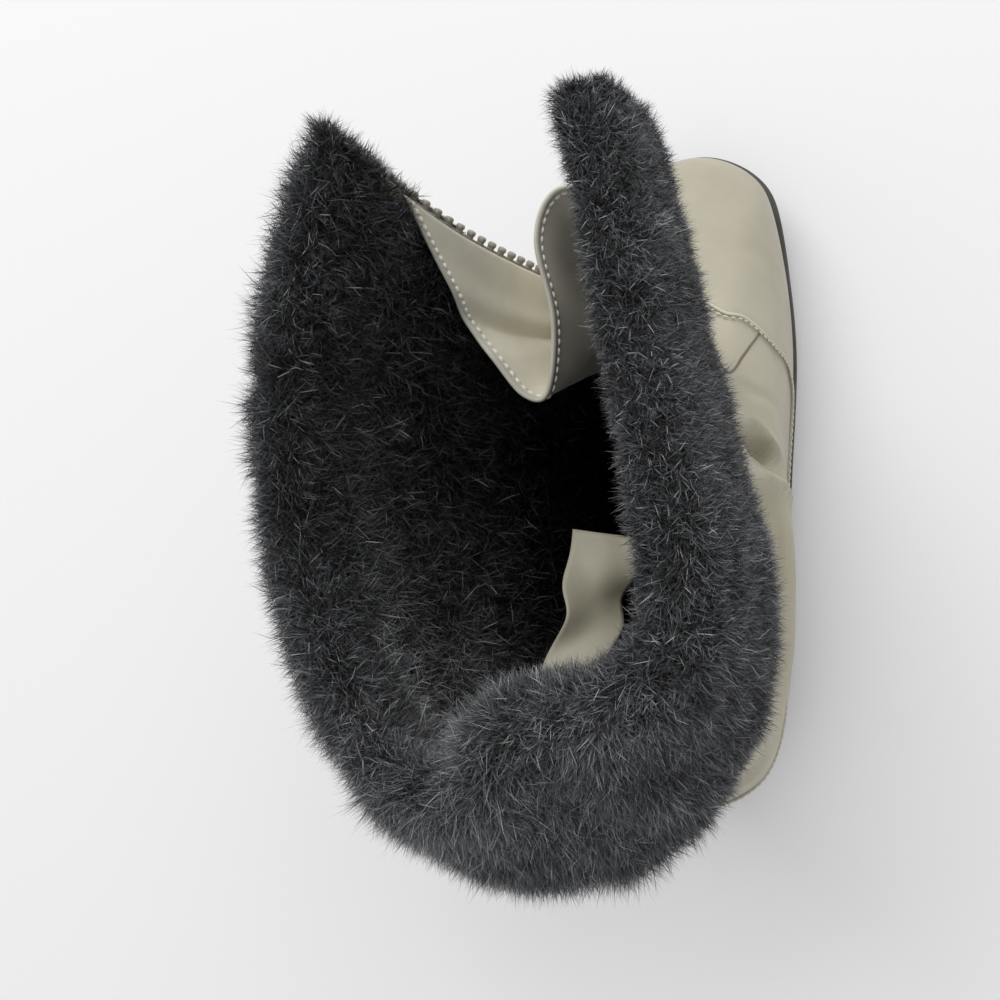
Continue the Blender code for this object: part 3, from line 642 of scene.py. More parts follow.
def start_finish(name, roughness):
    """Material with a Principled shader; returns it with its node tree and that shader."""
    material = bpy.data.materials.new(name)
    material.use_nodes = True
    shader = material.node_tree.nodes["Principled BSDF"]
    shader.inputs["Roughness"].default_value = roughness
    return material, material.node_tree, shader


def add_node(tree, kind, inputs=None, **settings):
    """Node with its settings, and its inputs set to values or linked to sockets."""
    node = tree.nodes.new(kind)
    for key, value in settings.items():
        setattr(node, key, value)
    for key, value in (inputs or {}).items():
        if isinstance(value, bpy.types.NodeSocket):
            tree.links.new(value, node.inputs[key])
        else:
            node.inputs[key].default_value = value
    return node


def add_ramp(tree, factor, *stops):
    """Colour ramp through (place, colour) stops."""
    node = add_node(tree, "ShaderNodeValToRGB", {"Fac": factor})
    ramp = node.color_ramp
    while len(ramp.elements) < len(stops):
        ramp.elements.new(1.0)
    for element, (place, colour) in zip(ramp.elements, stops):
        element.position = place
        element.color = (*colour, 1.0)
    return node.outputs["Color"]


def add_bump(tree, shader, height, strength, distance, below=None):
    """Bump in millimetres on a shader, over another bump if one is given."""
    inputs = {"Height": height, "Strength": strength, "Distance": distance * MM}
    if below is not None:
        inputs["Normal"] = below
    node = add_node(tree, "ShaderNodeBump", inputs)
    tree.links.new(node.outputs["Normal"], shader.inputs["Normal"])
    return node.outputs["Normal"]


def add_noise(tree, vector, scale, detail=3.0, roughness=0.55):
    """Value of a noise texture at a place."""
    inputs = {"Vector": vector, "Scale": scale, "Detail": detail, "Roughness": roughness}
    return add_node(tree, "ShaderNodeTexNoise", inputs).outputs["Fac"]


def object_place(tree):
    """Place of a surface's point in its own object."""
    return add_node(tree, "ShaderNodeTexCoord").outputs["Object"]


def leather_finish(name, dark, middle, pale, roughness):
    """Soft smooth leather: cloudy tone, fine pebbled grain and a dull sheen."""
    material, tree, shader = start_finish(name, roughness)
    place = object_place(tree)
    cloud = add_noise(tree, place, 26.0, 5.0, 0.6)
    tree.links.new(
        add_ramp(tree, cloud, (0.28, dark), (0.5, middle), (0.74, pale)), shader.inputs["Base Color"]
    )
    shine = add_noise(tree, place, 60.0, 3.0)
    low, high = roughness - 0.07, roughness + 0.09
    span = {"Value": shine, "From Min": 0.3, "From Max": 0.7, "To Min": low, "To Max": high}
    dulled = add_node(tree, "ShaderNodeMapRange", span).outputs["Result"]
    tree.links.new(dulled, shader.inputs["Roughness"])
    pebble = add_node(
        tree, "ShaderNodeTexVoronoi", {"Vector": place, "Scale": 1150.0}, feature="SMOOTH_F1"
    ).outputs["Distance"]
    first = add_bump(tree, shader, pebble, 0.16, 0.25)
    add_bump(tree, shader, add_noise(tree, place, 330.0, 4.0), 0.14, 0.5, first)
    return material


def woven_finish(name, dark, pale, roughness, pitch):
    """Plain weave that follows the piece's own map, which is in millimetres."""
    material, tree, shader = start_finish(name, roughness)
    cloth = add_node(tree, "ShaderNodeUVMap", uv_map="cloth").outputs["UV"]
    turns = 1.0 / pitch
    waves = []
    for axis in ("X", "Y"):
        inputs = {"Vector": cloth, "Scale": turns / 3.2, "Distortion": 0.35, "Detail": 1.0}
        wave = add_node(tree, "ShaderNodeTexWave", inputs, bands_direction=axis)
        waves.append(wave.outputs["Fac"])
    weave = add_node(tree, "ShaderNodeMath", {0: waves[0], 1: waves[1]}, operation="MULTIPLY").outputs[0]
    cloud = add_noise(tree, object_place(tree), 45.0, 4.0)
    tone = add_node(tree, "ShaderNodeMath", {0: weave, 1: 0.35}, operation="MULTIPLY").outputs[0]
    both = add_node(tree, "ShaderNodeMath", {0: tone, 1: cloud}, operation="ADD").outputs[0]
    tree.links.new(add_ramp(tree, both, (0.3, dark), (0.85, pale)), shader.inputs["Base Color"])
    add_bump(tree, shader, weave, 0.3, 0.12)
    shader.inputs["Sheen Weight"].default_value = 0.15
    return material


def rubber_finish():
    """Moulded rubber: matt, a little dusty, with a fine sparked surface."""
    material, tree, shader = start_finish("moulded rubber", 0.62)
    place = object_place(tree)
    dust = add_noise(tree, place, 55.0, 6.0, 0.65)
    tree.links.new(
        add_ramp(tree, dust, (0.3, (0.040, 0.038, 0.035)), (0.75, (0.085, 0.081, 0.073))),
        shader.inputs["Base Color"],
    )
    add_bump(tree, shader, add_noise(tree, place, 1500.0, 2.0), 0.2, 0.15)
    return material


def thread_finish(name, dark, pale):
    """Twisted sewing thread."""
    material, tree, shader = start_finish(name, 0.6)
    place = object_place(tree)
    tree.links.new(
        add_ramp(tree, add_noise(tree, place, 800.0, 2.0), (0.3, dark), (0.7, pale)),
        shader.inputs["Base Color"],
    )
    twist = add_node(
        tree, "ShaderNodeTexWave", {"Vector": place, "Scale": 900.0}, bands_direction="DIAGONAL"
    )
    add_bump(tree, shader, twist.outputs["Fac"], 0.4, 0.12)
    return material


def fleece_finish(name, dark, pale):
    """Matt pile backing with a clotted surface."""
    material, tree, shader = start_finish(name, 0.95)
    place = object_place(tree)
    clot = add_noise(tree, place, 420.0, 5.0, 0.7)
    tree.links.new(add_ramp(tree, clot, (0.35, dark), (0.75, pale)), shader.inputs["Base Color"])
    add_bump(tree, shader, clot, 0.9, 1.2)
    shader.inputs["Specular IOR Level"].default_value = 0.1
    return material


def hair_finish():
    """Pile hairs: near black at the root, greyer towards the tip, each with its own tone; the dark roots
    are partly the fur's own and partly painted shade deep in the pile.
    """
    material, tree, shader = start_finish("charcoal pile", 0.45)
    strand = add_node(tree, "ShaderNodeUVMap", uv_map="OFBake").outputs["UV"]
    parts = add_node(tree, "ShaderNodeSeparateXYZ", {"Vector": strand}).outputs
    # Root-to-tip ramp, its near-black roots partly painted shade deep in the pile
    shade = add_ramp(
        tree,
        parts["Y"],
        (0.0, (0.020, 0.020, 0.021)),
        (0.4, (0.065, 0.0655, 0.068)),
        (0.75, (0.175, 0.177, 0.181)),
        (1.0, (0.310, 0.313, 0.315)),
    )
    tone = add_ramp(
        tree,
        parts["X"],
        (0.0, (0.06, 0.06, 0.066)),
        (0.5, (0.50, 0.505, 0.515)),
        (0.8, (1.10, 1.11, 1.12)),
        (1.0, (2.6, 2.6, 2.58)),
    )
    mixed = add_node(
        tree, "ShaderNodeMix", {6: shade, 7: tone, 0: 1.0}, data_type="RGBA", blend_type="MULTIPLY"
    )
    tree.links.new(mixed.outputs[2], shader.inputs["Base Color"])
    shader.inputs["Specular IOR Level"].default_value = 0.4
    return material


def plastic_finish():
    """Moulded zip teeth."""
    material, tree, shader = start_finish("zip teeth", 0.42)
    place = object_place(tree)
    cloud = add_noise(tree, place, 140.0, 3.0)
    tree.links.new(
        add_ramp(tree, cloud, (0.3, (0.22, 0.205, 0.163)), (0.7, (0.32, 0.30, 0.245))),
        shader.inputs["Base Color"],
    )
    add_bump(tree, shader, add_noise(tree, place, 900.0, 2.0), 0.12, 0.1)
    return material


def enamel_finish():
    """Grey enamel on the slider and its tab, worn a little."""
    material, tree, shader = start_finish("grey enamel", 0.36)
    place = object_place(tree)
    wear = add_noise(tree, place, 380.0, 5.0, 0.7)
    tree.links.new(
        add_ramp(tree, wear, (0.35, (0.20, 0.19, 0.165)), (0.72, (0.31, 0.30, 0.27))),
        shader.inputs["Base Color"],
    )
    shader.inputs["Metallic"].default_value = 0.6
    add_bump(tree, shader, wear, 0.15, 0.15)
    return material


LEATHER = leather_finish(
    "taupe leather", (0.358, 0.329, 0.250), (0.385, 0.356, 0.272), (0.414, 0.385, 0.297), 0.46
)
# The seam bead's leather is paler than the upper's: a painted highlight along the raised seam.
BEAD = leather_finish("seam leather painted highlight", (0.43, 0.40, 0.31), (0.49, 0.46, 0.36), (0.55, 0.52, 0.42), 0.48)
# Near-black leather of the placket cord: painted shade along the placket's fold edge.
PLACKET_PAINTED_SHADE = leather_finish(
    "placket painted shade", (0.10, 0.085, 0.06), (0.14, 0.12, 0.085), (0.19, 0.165, 0.12), 0.7
)
# The gusset's nylon is paler than the cloth: painted light on the panel, which lies in shade between the
# flaps.
NYLON_PAINTED_LIGHT = woven_finish("gusset nylon painted light", (0.60, 0.562, 0.452), (0.76, 0.722, 0.60), 0.5, 0.55)
BINDING = woven_finish("hem binding", (0.46, 0.44, 0.36), (0.62, 0.60, 0.51), 0.55, 0.5)
TAPE = woven_finish("zip tape", (0.32, 0.297, 0.235), (0.44, 0.415, 0.335), 0.7, 0.7)
# The label's off-white satin is darkened: painted shade inside the shaft.
SATIN_PAINTED_SHADE = woven_finish("label satin painted shade", (0.318, 0.292, 0.216), (0.405, 0.377, 0.288), 0.5, 0.35)
RUBBER = rubber_finish()
HEM_THREAD = thread_finish("hem thread", (0.74, 0.73, 0.66), (0.88, 0.87, 0.81))
SEAM_THREAD = thread_finish("seam thread", (0.50, 0.48, 0.39), (0.64, 0.62, 0.52))
FLEECE = fleece_finish("black fleece", (0.0008, 0.0008, 0.0010), (0.006, 0.006, 0.0066))
PILE = fleece_finish("charcoal backing", (0.010, 0.010, 0.011), (0.045, 0.045, 0.047))
HAIR = hair_finish()
TEETH = plastic_finish()
ENAMEL = enamel_finish()


def add_piece(name, bm, finish, body="boot", smooth_faces=True):
    """Piece from a bmesh in millimetres, riding on a body, with its place in its mesh."""
    bmesh.ops.scale(bm, vec=(MM, MM, MM), verts=bm.verts)
    mesh = bpy.data.meshes.new(name)
    bm.to_mesh(mesh)
    bm.free()
    if smooth_faces:
        mesh.shade_smooth()
    mesh.materials.append(finish)
    obj = bpy.data.objects.new(name, mesh)
    bpy.context.scene.collection.objects.link(obj)
    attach(obj, body)
    return obj


def add_wall(obj, thickness, offset):
    """Live wall on a sheet, in millimetres."""
    wall_of = obj.modifiers.new("wall", "SOLIDIFY")
    wall_of.thickness = thickness * MM
    wall_of.offset = offset


def map_cloth(bm, points):
    """Map in millimetres along a sheet's rows and columns, for its weave."""
    layer = bm.loops.layers.uv.new("cloth")
    across = np.linalg.norm(np.diff(points, axis=1, prepend=points[:, :1]), axis=2).cumsum(axis=1)
    along = np.linalg.norm(np.diff(points, axis=0, prepend=points[:1]), axis=2).cumsum(axis=0)
    bm.verts.index_update()
    flat = np.stack([across, along], axis=2).reshape(-1, 2)
    for face in bm.faces:
        for loop in face.loops:
            loop[layer].uv = flat[loop.vert.index]


def seam_levels(stations):
    """Level of the raised leather's top edge at each station."""
    line = np.array([row[1:] for row in SEAM_LINE])
    line = through(line, np.linspace(0.0, len(line) - 1.0, SEAM_SAMPLES))
    return np.interp(np.minimum(stations, LAST_STATION - stations), line[:, 0], line[:, 1])


def wall_path(path, count):
    """Points and outward normals along a path of (station, level) pairs on the slack wall."""
    fine = through(np.array(path, float), np.linspace(0.0, len(path) - 1.0, count))
    points, normals, _ = slack_wall(fine[:, 0], fine[None, :, 1])
    return points[0], normals[0]


def crease_heights(points):
    """How far the leather's creases and slack waves lift each point of the wall."""
    flat = points.reshape(-1, 3)
    lift = np.zeros(len(flat))
    for _, width, height, path in CREASES:
        fine = through(np.array(path, float), np.linspace(0.0, len(path) - 1.0, CREASE_SAMPLES))
        line = wall(fine[:, 0], fine[None, :, 1])[0]
        apart = np.linalg.norm(flat[:, None] - line[None], axis=2)
        nearest = apart.argmin(axis=1)
        fade = np.sin(math.pi * (nearest + 0.5) / len(line)) ** CREASE_FADE
        lift += height * fade * np.exp(-((apart.min(axis=1) / width) ** 2))
    high = smooth(*SLACK_HEIGHTS, flat[:, 2])
    slack, ripple = (
        (low + more * high) * np.array([noise.noise(Vector(place) / size) for place in flat])
        for size, low, more in (SLACK_WAVE, SLACK_RIPPLE)
    )
    lift += slack + ripple
    return lift.reshape(points.shape[:2])


def slack_wall(stations, levels):
    """Wall with the lift of its creases and slack, its outward normals and its upward direction."""
    points, normals, up = wall_frame(stations, levels)
    if levels.ndim == 1:
        levels = np.repeat(levels[:, None], len(stations), axis=1)
    free = smooth(*SLACK_START, levels) * (1.0 - smooth(*SLACK_END, levels))
    return points + (crease_heights(points) * free)[..., None] * normals, normals, up


def close_front(points, closed):
    """Bring the first and last columns together in the rows below the throat."""
    middle = (points[:closed, 0] + points[:closed, -1]) / 2.0
    points[:closed, 0] = middle
    points[:closed, -1] = middle


def skin_points():
    """Outer face of the upper in detail, row by column, with how many rows are closed in front."""
    columns = SKIN_COLUMNS
    seam = seam_levels(columns)
    below = np.linspace(0.0, 1.0, SKIN_ROWS_BELOW)[:, None] * (seam - STEP_FOOT * SEAM_HALF)
    edge = seam + SEAM_HALF * np.array(STEP_PLACES)[:, None]
    between = np.linspace(0.0, 1.0, SKIN_ROWS_TO_THROAT)[:, None]
    above = (seam + SEAM_HALF) + between * (THROAT - seam - SEAM_HALF)
    shaft = np.linspace(THROAT, RIM, SKIN_ROWS_SHAFT + 1)[1:, None] + np.zeros_like(seam)
    levels = np.concatenate([below, edge, above, shaft])
    points, normals, _ = slack_wall(columns, levels)
    raised = SEAM_STEP * smooth(*STEP_START, levels)
    for row, share in enumerate(STEP_SHARES, SKIN_ROWS_BELOW):
        raised[row] *= share
    raised[SKIN_ROWS_BELOW + 2:] = 0.0
    points = points + raised[..., None] * normals
    seat = sole_top(points[..., 1]) + UPPER_SEAT + SEAT_RISE * np.arange(len(levels))[:, None]
    points[0, :, 2] = seat[0]
    points[..., 2] = np.maximum(points[..., 2], seat)
    closed = SKIN_ROWS_BELOW + 2 + SKIN_ROWS_TO_THROAT
    close_front(points, closed)
    return points, closed


def make_upper():
    """Leather skin from the feather line to the rim, slit above the throat."""
    points, closed = skin_points()
    bm = bmesh.new()
    table = add_sheet(bm, points, flip=True)
    bmesh.ops.weld_verts(bm, targetmap={row[-1]: row[0] for row in table[:closed]})
    upper = add_piece("upper_leather", bm, LEATHER)
    add_wall(upper, UPPER_WALL, -1.0)
    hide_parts("upper")


def add_tube(bm, line, normals, radius, sides):
    """Tube along a line of points, with its ends closed."""
    ahead = unit(np.gradient(line, axis=0))
    side = unit(np.cross(normals, ahead))
    out = np.cross(ahead, side)
    turn = np.linspace(0.0, 2.0 * math.pi, sides + 1)
    turn = turn[None, :, None]
    ring = np.cos(turn) * side[:, None] + np.sin(turn) * out[:, None]
    table = add_sheet(bm, line[:, None] + radius * ring, flip=False)
    bmesh.ops.weld_verts(bm, targetmap={row[-1]: row[0] for row in table})
    for row in (table[0], table[-1]):
        bm.faces.new(row[:-1])


def stitch_shape():
    """Points and faces of one stitch along X, a plump grain of thread."""
    bm = bmesh.new()
    bmesh.ops.create_uvsphere(bm, u_segments=6, v_segments=4, radius=1.0)
    bmesh.ops.rotate(bm, verts=bm.verts, matrix=Matrix.Rotation(math.pi / 2.0, 3, "Y"))
    shape = np.array([vert.co[:] for vert in bm.verts]), [[v.index for v in f.verts] for f in bm.faces]
    bm.free()
    return shape


def scatter(name, shape, places, axes, finish):
    """Piece made of one shape repeated at places, turned to axes and scaled by their lengths."""
    verts, faces = shape
    spots = places[:, None] + np.einsum("vk,nkd->nvd", verts, axes)
    first = len(verts) * np.arange(len(places))
    listed = [[k + start for k in face] for start in first for face in faces]
    mesh = bpy.data.meshes.new(name)
    mesh.from_pydata((spots.reshape(-1, 3) * MM).tolist(), [], listed)
    bm = bmesh.new()
    bm.from_mesh(mesh)
    bmesh.ops.recalc_face_normals(bm, faces=bm.faces)
    bpy.data.meshes.remove(mesh)
    bmesh.ops.scale(bm, vec=(1.0 / MM, 1.0 / MM, 1.0 / MM), verts=bm.verts)
    return add_piece(name, bm, finish)


def stitch_places(line, normals, lift, pitch, radius):
    """Places and axes of stitches laid end to end along a line."""
    length = np.concatenate([[0.0], np.linalg.norm(np.diff(line, axis=0), axis=1).cumsum()])
    spots = np.arange(0.5 * pitch, length[-1], pitch)
    place = np.stack([np.interp(spots, length, line[:, k]) for k in range(3)], axis=1)
    out = unit(np.stack([np.interp(spots, length, normals[:, k]) for k in range(3)], axis=1))
    slope = np.gradient(line, length, axis=0)
    ahead = unit(np.stack([np.interp(spots, length, slope[:, k]) for k in range(3)], axis=1))
    side = np.cross(out, ahead)
    axes = np.stack(
        [0.5 * STITCH_FILL * pitch * ahead, STITCH_SPREAD * radius * side, radius * out], axis=1
    )
    return place + lift * out, axes


def make_seams():
    """Bead and stitches along the raised leather's edge, and the placket seam above it."""
    stations = np.linspace(0.0, LAST_STATION, SEAM_LINE_SAMPLES)
    levels = seam_levels(stations)
    line, normals, _ = (item[0] for item in slack_wall(stations, levels[None]))
    bead = bmesh.new()
    add_tube(bead, line + BEAD_RADIUS * normals, normals, BEAD_RADIUS, TUBE_SIDES)
    bmesh.ops.recalc_face_normals(bead, faces=bead.faces)
    # The bead's paler leather is a painted highlight on the raised seam.
    add_piece("seam_bead", bead, BEAD)
    placket, out = wall_path(PLACKET_SEAM, PLACKET_SAMPLES)
    cord = bmesh.new()
    add_tube(cord, placket, out, PLACKET_RADIUS, TUBE_SIDES)
    bmesh.ops.recalc_face_normals(cord, faces=cord.faces)
    # The placket cord's near-black leather is painted shade along the fold edge.
    add_piece("placket_seam", cord, PLACKET_PAINTED_SHADE)

    under = np.cross(unit(np.gradient(line, axis=0)), normals)
    sewn = line + SEAM_STITCH_DROP * under
    places, axes = stitch_places(sewn, normals, SEAM_STEP + SEAM_STITCH_LIFT, *SEAM_STITCHES)
    scatter("seam_stitches", stitch_shape(), places, axes, SEAM_THREAD)


def make_outsole():
    """Rubber sole with a grooved rim, a stepped side and chevron lugs."""
    loop, outward = feather_plan()
    side = np.array([row[1:] for row in SOLE_SIDE])
    fine = []
    for start, end in zip(side[:-1], side[1:]):
        fine.extend(start + share * (end - start) for share in SOLE_SHARES)
    fine.append(side[-1])
    rows = []
    for out, share in fine:
        place = loop + (out + TOE_RIM * smooth(*TOE_SLOPE, loop[:, 1]))[:, None] * outward
        low, high = sole_bottom(place[:, 1]), sole_top(place[:, 1])
        rows.append(np.column_stack([place, low + share * (high - low)]))
    sole = add_piece("outsole_rubber", foot_solid(np.array(rows)), RUBBER, smooth_faces=False)

    bars = bmesh.new()
    for y in HEEL_GROOVES + BALL_GROOVES:
        bar = bmesh.ops.create_cube(bars, size=1.0)["verts"]
        bmesh.ops.scale(bars, vec=(2.0 * LAST_WIDTH, GROOVE_WIDTH, 4.0 * LUG_DEPTH), verts=bar)
        bmesh.ops.translate(bars, vec=(0.0, y, -LUG_DEPTH), verts=bar)
    halves = bmesh.ops.bisect_plane(
        bars, geom=bars.verts[:] + bars.edges[:] + bars.faces[:], plane_co=(0, 0, 0), plane_no=(1, 0, 0)
    )
    middle = [item for item in halves["geom_cut"] if isinstance(item, bmesh.types.BMVert)]
    bmesh.ops.translate(bars, vec=(0.0, GROOVE_SWEEP, 0.0), verts=middle)
    bmesh.ops.recalc_face_normals(bars, faces=bars.faces)
    cutter = add_piece("tread grooves", bars, RUBBER, smooth_faces=False)
    cut = sole.modifiers.new("tread grooves", "BOOLEAN")
    cut.operation = "DIFFERENCE"
    cut.object = cutter
    bpy.context.view_layer.update()
    shaped = bpy.data.meshes.new_from_object(sole.evaluated_get(bpy.context.evaluated_depsgraph_get()))
    sole.modifiers.clear()
    sole.data = shaped
    bpy.data.objects.remove(cutter)
    shaped.shade_smooth()
    shaped.set_sharp_from_angle(angle=SHARP_ANGLE)
    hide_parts("outsole")


def make_insole():
    """Fleece-covered footbed and the fleece inside the foot of the upper."""
    plan, outward = feather_plan()
    place = plan - INSOLE_INSET * outward
    low = sole_top(place[:, 1]) + 2.0 * GAP
    inner = place - INSOLE_EDGE * outward
    rows = [
        np.column_stack([place, low]),
        np.column_stack([place, low + INSOLE_THICK - INSOLE_ROUND]),
        np.column_stack([inner, low + INSOLE_THICK]),
    ]
    insole = add_piece("insole_fleece", foot_solid(np.array(rows)), FLEECE)
    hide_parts("insole")

    columns = np.linspace(0.0, LAST_STATION, LAST_STATION * 8 + 1)
    levels = np.linspace(*FLEECE_LEVELS)
    points, normals, _ = slack_wall(columns, levels)
    points = points - (UPPER_WALL + FLEECE_DEPTH) * normals
    closed = int(np.searchsorted(levels, THROAT))
    close_front(points, closed)
    bm = bmesh.new()
    table = add_sheet(bm, points, flip=True)
    bmesh.ops.weld_verts(bm, targetmap={row[-1]: row[0] for row in table[:closed]})
    lining = add_piece("foot_fleece", bm, FLEECE)
    add_wall(lining, FLEECE_WALL, -1.0)


def gusset_sheet():
    """Middle face of the bellows, row by column from its foot to its hem."""
    rise = np.linspace(0.0, 1.0, 8 * GUSSET_ROWS + 1)
    inside = UPPER_WALL + TAPE_GAP + TAPE_WALL + SOFT_GAP + GUSSET_WALL / 2.0
    edges = []
    for front, hem_level, tuck in zip(("outer", "inner"), GUSSET_HEM, GUSSET_LAP):
        points, away, _ = flap_edge(front, GUSSET_FOOT + rise * (hem_level - GUSSET_FOOT), inside)
        edges.append(points - tuck * away)
    outer_edge, inner_edge = edges
    hem_points = np.array([outer_edge[-1]] + [row[1:] for row in GUSSET_FOLDS] + [inner_edge[-1]])
    across = np.linspace(0.0, 1.0, 5 * GUSSET_COLUMNS + 1)
    hem = through(hem_points, across * (len(hem_points) - 1))
    chord = outer_edge[:, None] + across[None, :, None] * (inner_edge - outer_edge)[:, None]
    sheet = chord + (hem - chord[-1])[None] * rise[:, None, None]
    normal = unit(np.cross(np.gradient(sheet, axis=1), np.gradient(sheet, axis=0)))
    wave_size, wave_height = GUSSET_WAVE
    wave = np.array([noise.noise(Vector(place) / wave_size) for place in sheet.reshape(-1, 3)])
    slack = np.sin(math.pi * across)[None, :] * np.sin(math.pi * rise)[:, None]
    lift = wave_height * slack * wave.reshape(sheet.shape[:2])
    for at, slope, width, height in GUSSET_CREASES:
        apart = across[None] - at - slope * (1.0 - rise[:, None])
        lift += height * np.exp(-((apart / width) ** 2))
    return sheet + lift[..., None] * normal


def gusset_guard():
    """Search tree of the gusset, carried on past its hem, that keeps hairs off it."""
    sheet = gusset_sheet()
    free = smooth(*GUARD_EDGE, np.linspace(0.0, 1.0, sheet.shape[1]))
    past = unit(sheet[-1] - sheet[-HEM_SPAN]) * free[:, None]
    sheet = np.concatenate([sheet, [sheet[-1] + reach * past for reach in GUARD_REACH]])
    bm = bmesh.new()
    add_sheet(bm, sheet, flip=False)
    tree = BVHTree.FromBMesh(bm)
    bm.free()
    return tree


def make_gusset():
    """Bellows between the flaps, its bound hem and the hem's stitches."""
    sheet = gusset_sheet()
    bm = bmesh.new()
    add_sheet(bm, sheet, flip=False)
    map_cloth(bm, sheet)
    area = sum(face.calc_area() for face in bm.faces) * MM * MM
    # Its nylon is made paler: painted light on the shaded panel.
    gusset = add_piece("gusset_nylon", bm, NYLON_PAINTED_LIGHT)
    add_wall(gusset, GUSSET_SHEET, 0.0)
    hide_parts("gusset")

    hem, below = sheet[-1], sheet[-HEM_SPAN]
    down = unit(below - hem)
    ahead = unit(np.gradient(hem, axis=0))
    out = unit(np.cross(ahead, down))
    half = GUSSET_SHEET / 2.0 + HEM_WALL
    section = (
        # along the cloth from its edge, out of the cloth
        (HEM_DEPTH, GUSSET_SHEET / 2.0),
        (HEM_DEPTH - 0.3, half),
        (0.2, half),
        (-0.5, 0.7 * half),
        (-0.8, 0.0),
        (-0.5, -0.7 * half),
        (0.2, -half),
        (HEM_DEPTH - 0.3, -half),
        (HEM_DEPTH, -GUSSET_SHEET / 2.0),
    )
    band = np.stack([hem + depth * down + side * out for depth, side in section])
    bm = bmesh.new()
    table = add_sheet(bm, band, flip=False)
    map_cloth(bm, band)
    for column in (0, -1):
        bm.faces.new([row[column] for row in table])
    bmesh.ops.recalc_face_normals(bm, faces=bm.faces)
    binding = add_piece("gusset_binding", bm, BINDING)
    rows = [
        stitch_places(hem + HEM_STITCH * down, way * out, HEM_STITCH_LIFT, *HEM_STITCHES)
        for way in (-1.0, 1.0)
    ]
    places, axes = (np.concatenate(items) for items in zip(*rows))
    stitches = scatter("gusset_stitches", stitch_shape(), places, axes, HEM_THREAD)


def tooth_shape():
    """Points and faces of one moulded tooth: a neck along X with a wider rounded head."""
    bm = bmesh.new()
    neck = bmesh.ops.create_cube(bm, size=1.0)["verts"]
    bmesh.ops.scale(bm, vec=TOOTH_NECK, verts=neck)
    bmesh.ops.translate(bm, vec=(TOOTH_PLACES[0], 0.0, 0.0), verts=neck)
    head = bmesh.ops.create_cube(bm, size=1.0)["verts"]
    bmesh.ops.scale(bm, vec=TOOTH_HEAD, verts=head)
    bmesh.ops.translate(bm, vec=(TOOTH_PLACES[1], 0.0, 0.0), verts=head)
    edges = list({edge for vert in head for edge in vert.link_edges})
    bmesh.ops.bevel(
        bm, geom=edges, offset=TOOTH_EASE, segments=1, profile=0.5, affect="EDGES", material=-1
    )
    bm.verts.index_update()
    shape = np.array([vert.co[:] for vert in bm.verts]), [[v.index for v in f.verts] for f in bm.faces]
    bm.free()
    return shape


def make_zip(front):
    """Woven tape inside a flap's edge with its row of moulded teeth."""
    fine = np.linspace(*ZIP_LEVELS, ZIP_SAMPLES)
    run = np.concatenate([np.linspace(TAPE_FOOT, ZIP_LEVELS[0], 12)[:-1], fine])
    points, away, normals = flap_edge(front, run, UPPER_WALL + TAPE_GAP)
    middle = points - TAPE_WALL / 2.0 * normals
    reach = np.linspace(-TAPE_HIDDEN, TAPE_FREE, 7)
    sheet = middle[:, None] + reach[None, :, None] * away[:, None]
    bm = bmesh.new()
    add_sheet(bm, sheet, flip=False)
    map_cloth(bm, sheet)
    tape = add_piece("zip_tape_" + front, bm, TAPE)
    add_wall(tape, TAPE_WALL, 0.0)

    points, _, _ = flap_edge(front, fine, UPPER_WALL + TAPE_GAP)
    length = np.concatenate([[0.0], np.linalg.norm(np.diff(points, axis=0), axis=1).cumsum()])
    spots = np.arange(TOOTH_SHIFTS[front], length[-1] / TOOTH_PITCH) * TOOTH_PITCH
    levels = np.interp(spots, length, fine)
    points, away, normals = flap_edge(front, levels, UPPER_WALL + TAPE_GAP)
    along = np.cross(normals, away)
    axes = np.stack([away, along, normals], axis=1)
    middle = points - TAPE_WALL / 2.0 * normals + TOOTH_SEAT * away
    teeth = scatter("zip_teeth_" + front, tooth_shape(), middle, axes, TEETH)
    for polygon in teeth.data.polygons:
        polygon.use_smooth = False
    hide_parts("zip_" + front)


def make_label():
    """Blank satin label sewn to the lining, twisting as it curls out into the shaft."""
    rows, columns = LABEL_GRID
    points, normals, _ = wall_frame(np.array(LABEL_STATIONS), np.array([LABEL_LEVEL]))
    root = points[0] - (UPPER_WALL + SOFT_GAP + LINING_PILE + 2.0 * SOFT_GAP) * normals[0]
    root, end = root[::-1], np.array(LABEL_END)[::-1]
    along = np.linspace(0.0, 1.0, rows)
    ends = root[None] + along[:, None, None] * (end - root)[None]
    middle, half = ends.mean(axis=1), (ends[:, 1] - ends[:, 0]) / 2.0
    for at, spread, sway in LABEL_SWAY:
        middle[:, 0] += sway * np.exp(-(((along - at) / spread) ** 2))
    middle[:, 2] += LABEL_WAVE * np.sin(2.0 * math.pi * along)
    at, spread, most = LABEL_TWIST
    turn = (most * np.exp(-(((along - at) / spread) ** 2)))[:, None]
    width = np.linalg.norm(half, axis=1, keepdims=True)
    half = np.cos(turn) * half - np.sin(turn) * width * np.array([0.0, 0.0, 1.0])
    share = np.linspace(-1.0, 1.0, columns)
    sheet = middle[:, None] + share[None, :, None] * half[:, None]
    high, across, down = LABEL_RIPPLE
    sheet[..., 2] += high * np.sin(across * share[None] + down * along[:, None]) * along[:, None] ** 2
    bm = bmesh.new()
    add_sheet(bm, sheet, flip=False)
    map_cloth(bm, sheet)
    area = sum(face.calc_area() for face in bm.faces) * MM * MM
    # Its satin is darkened: painted shade inside the shaft.
    label = add_piece("label_satin", bm, SATIN_PAINTED_SHADE)
    add_wall(label, LABEL_SHEET, 0.0)
    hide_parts("label")


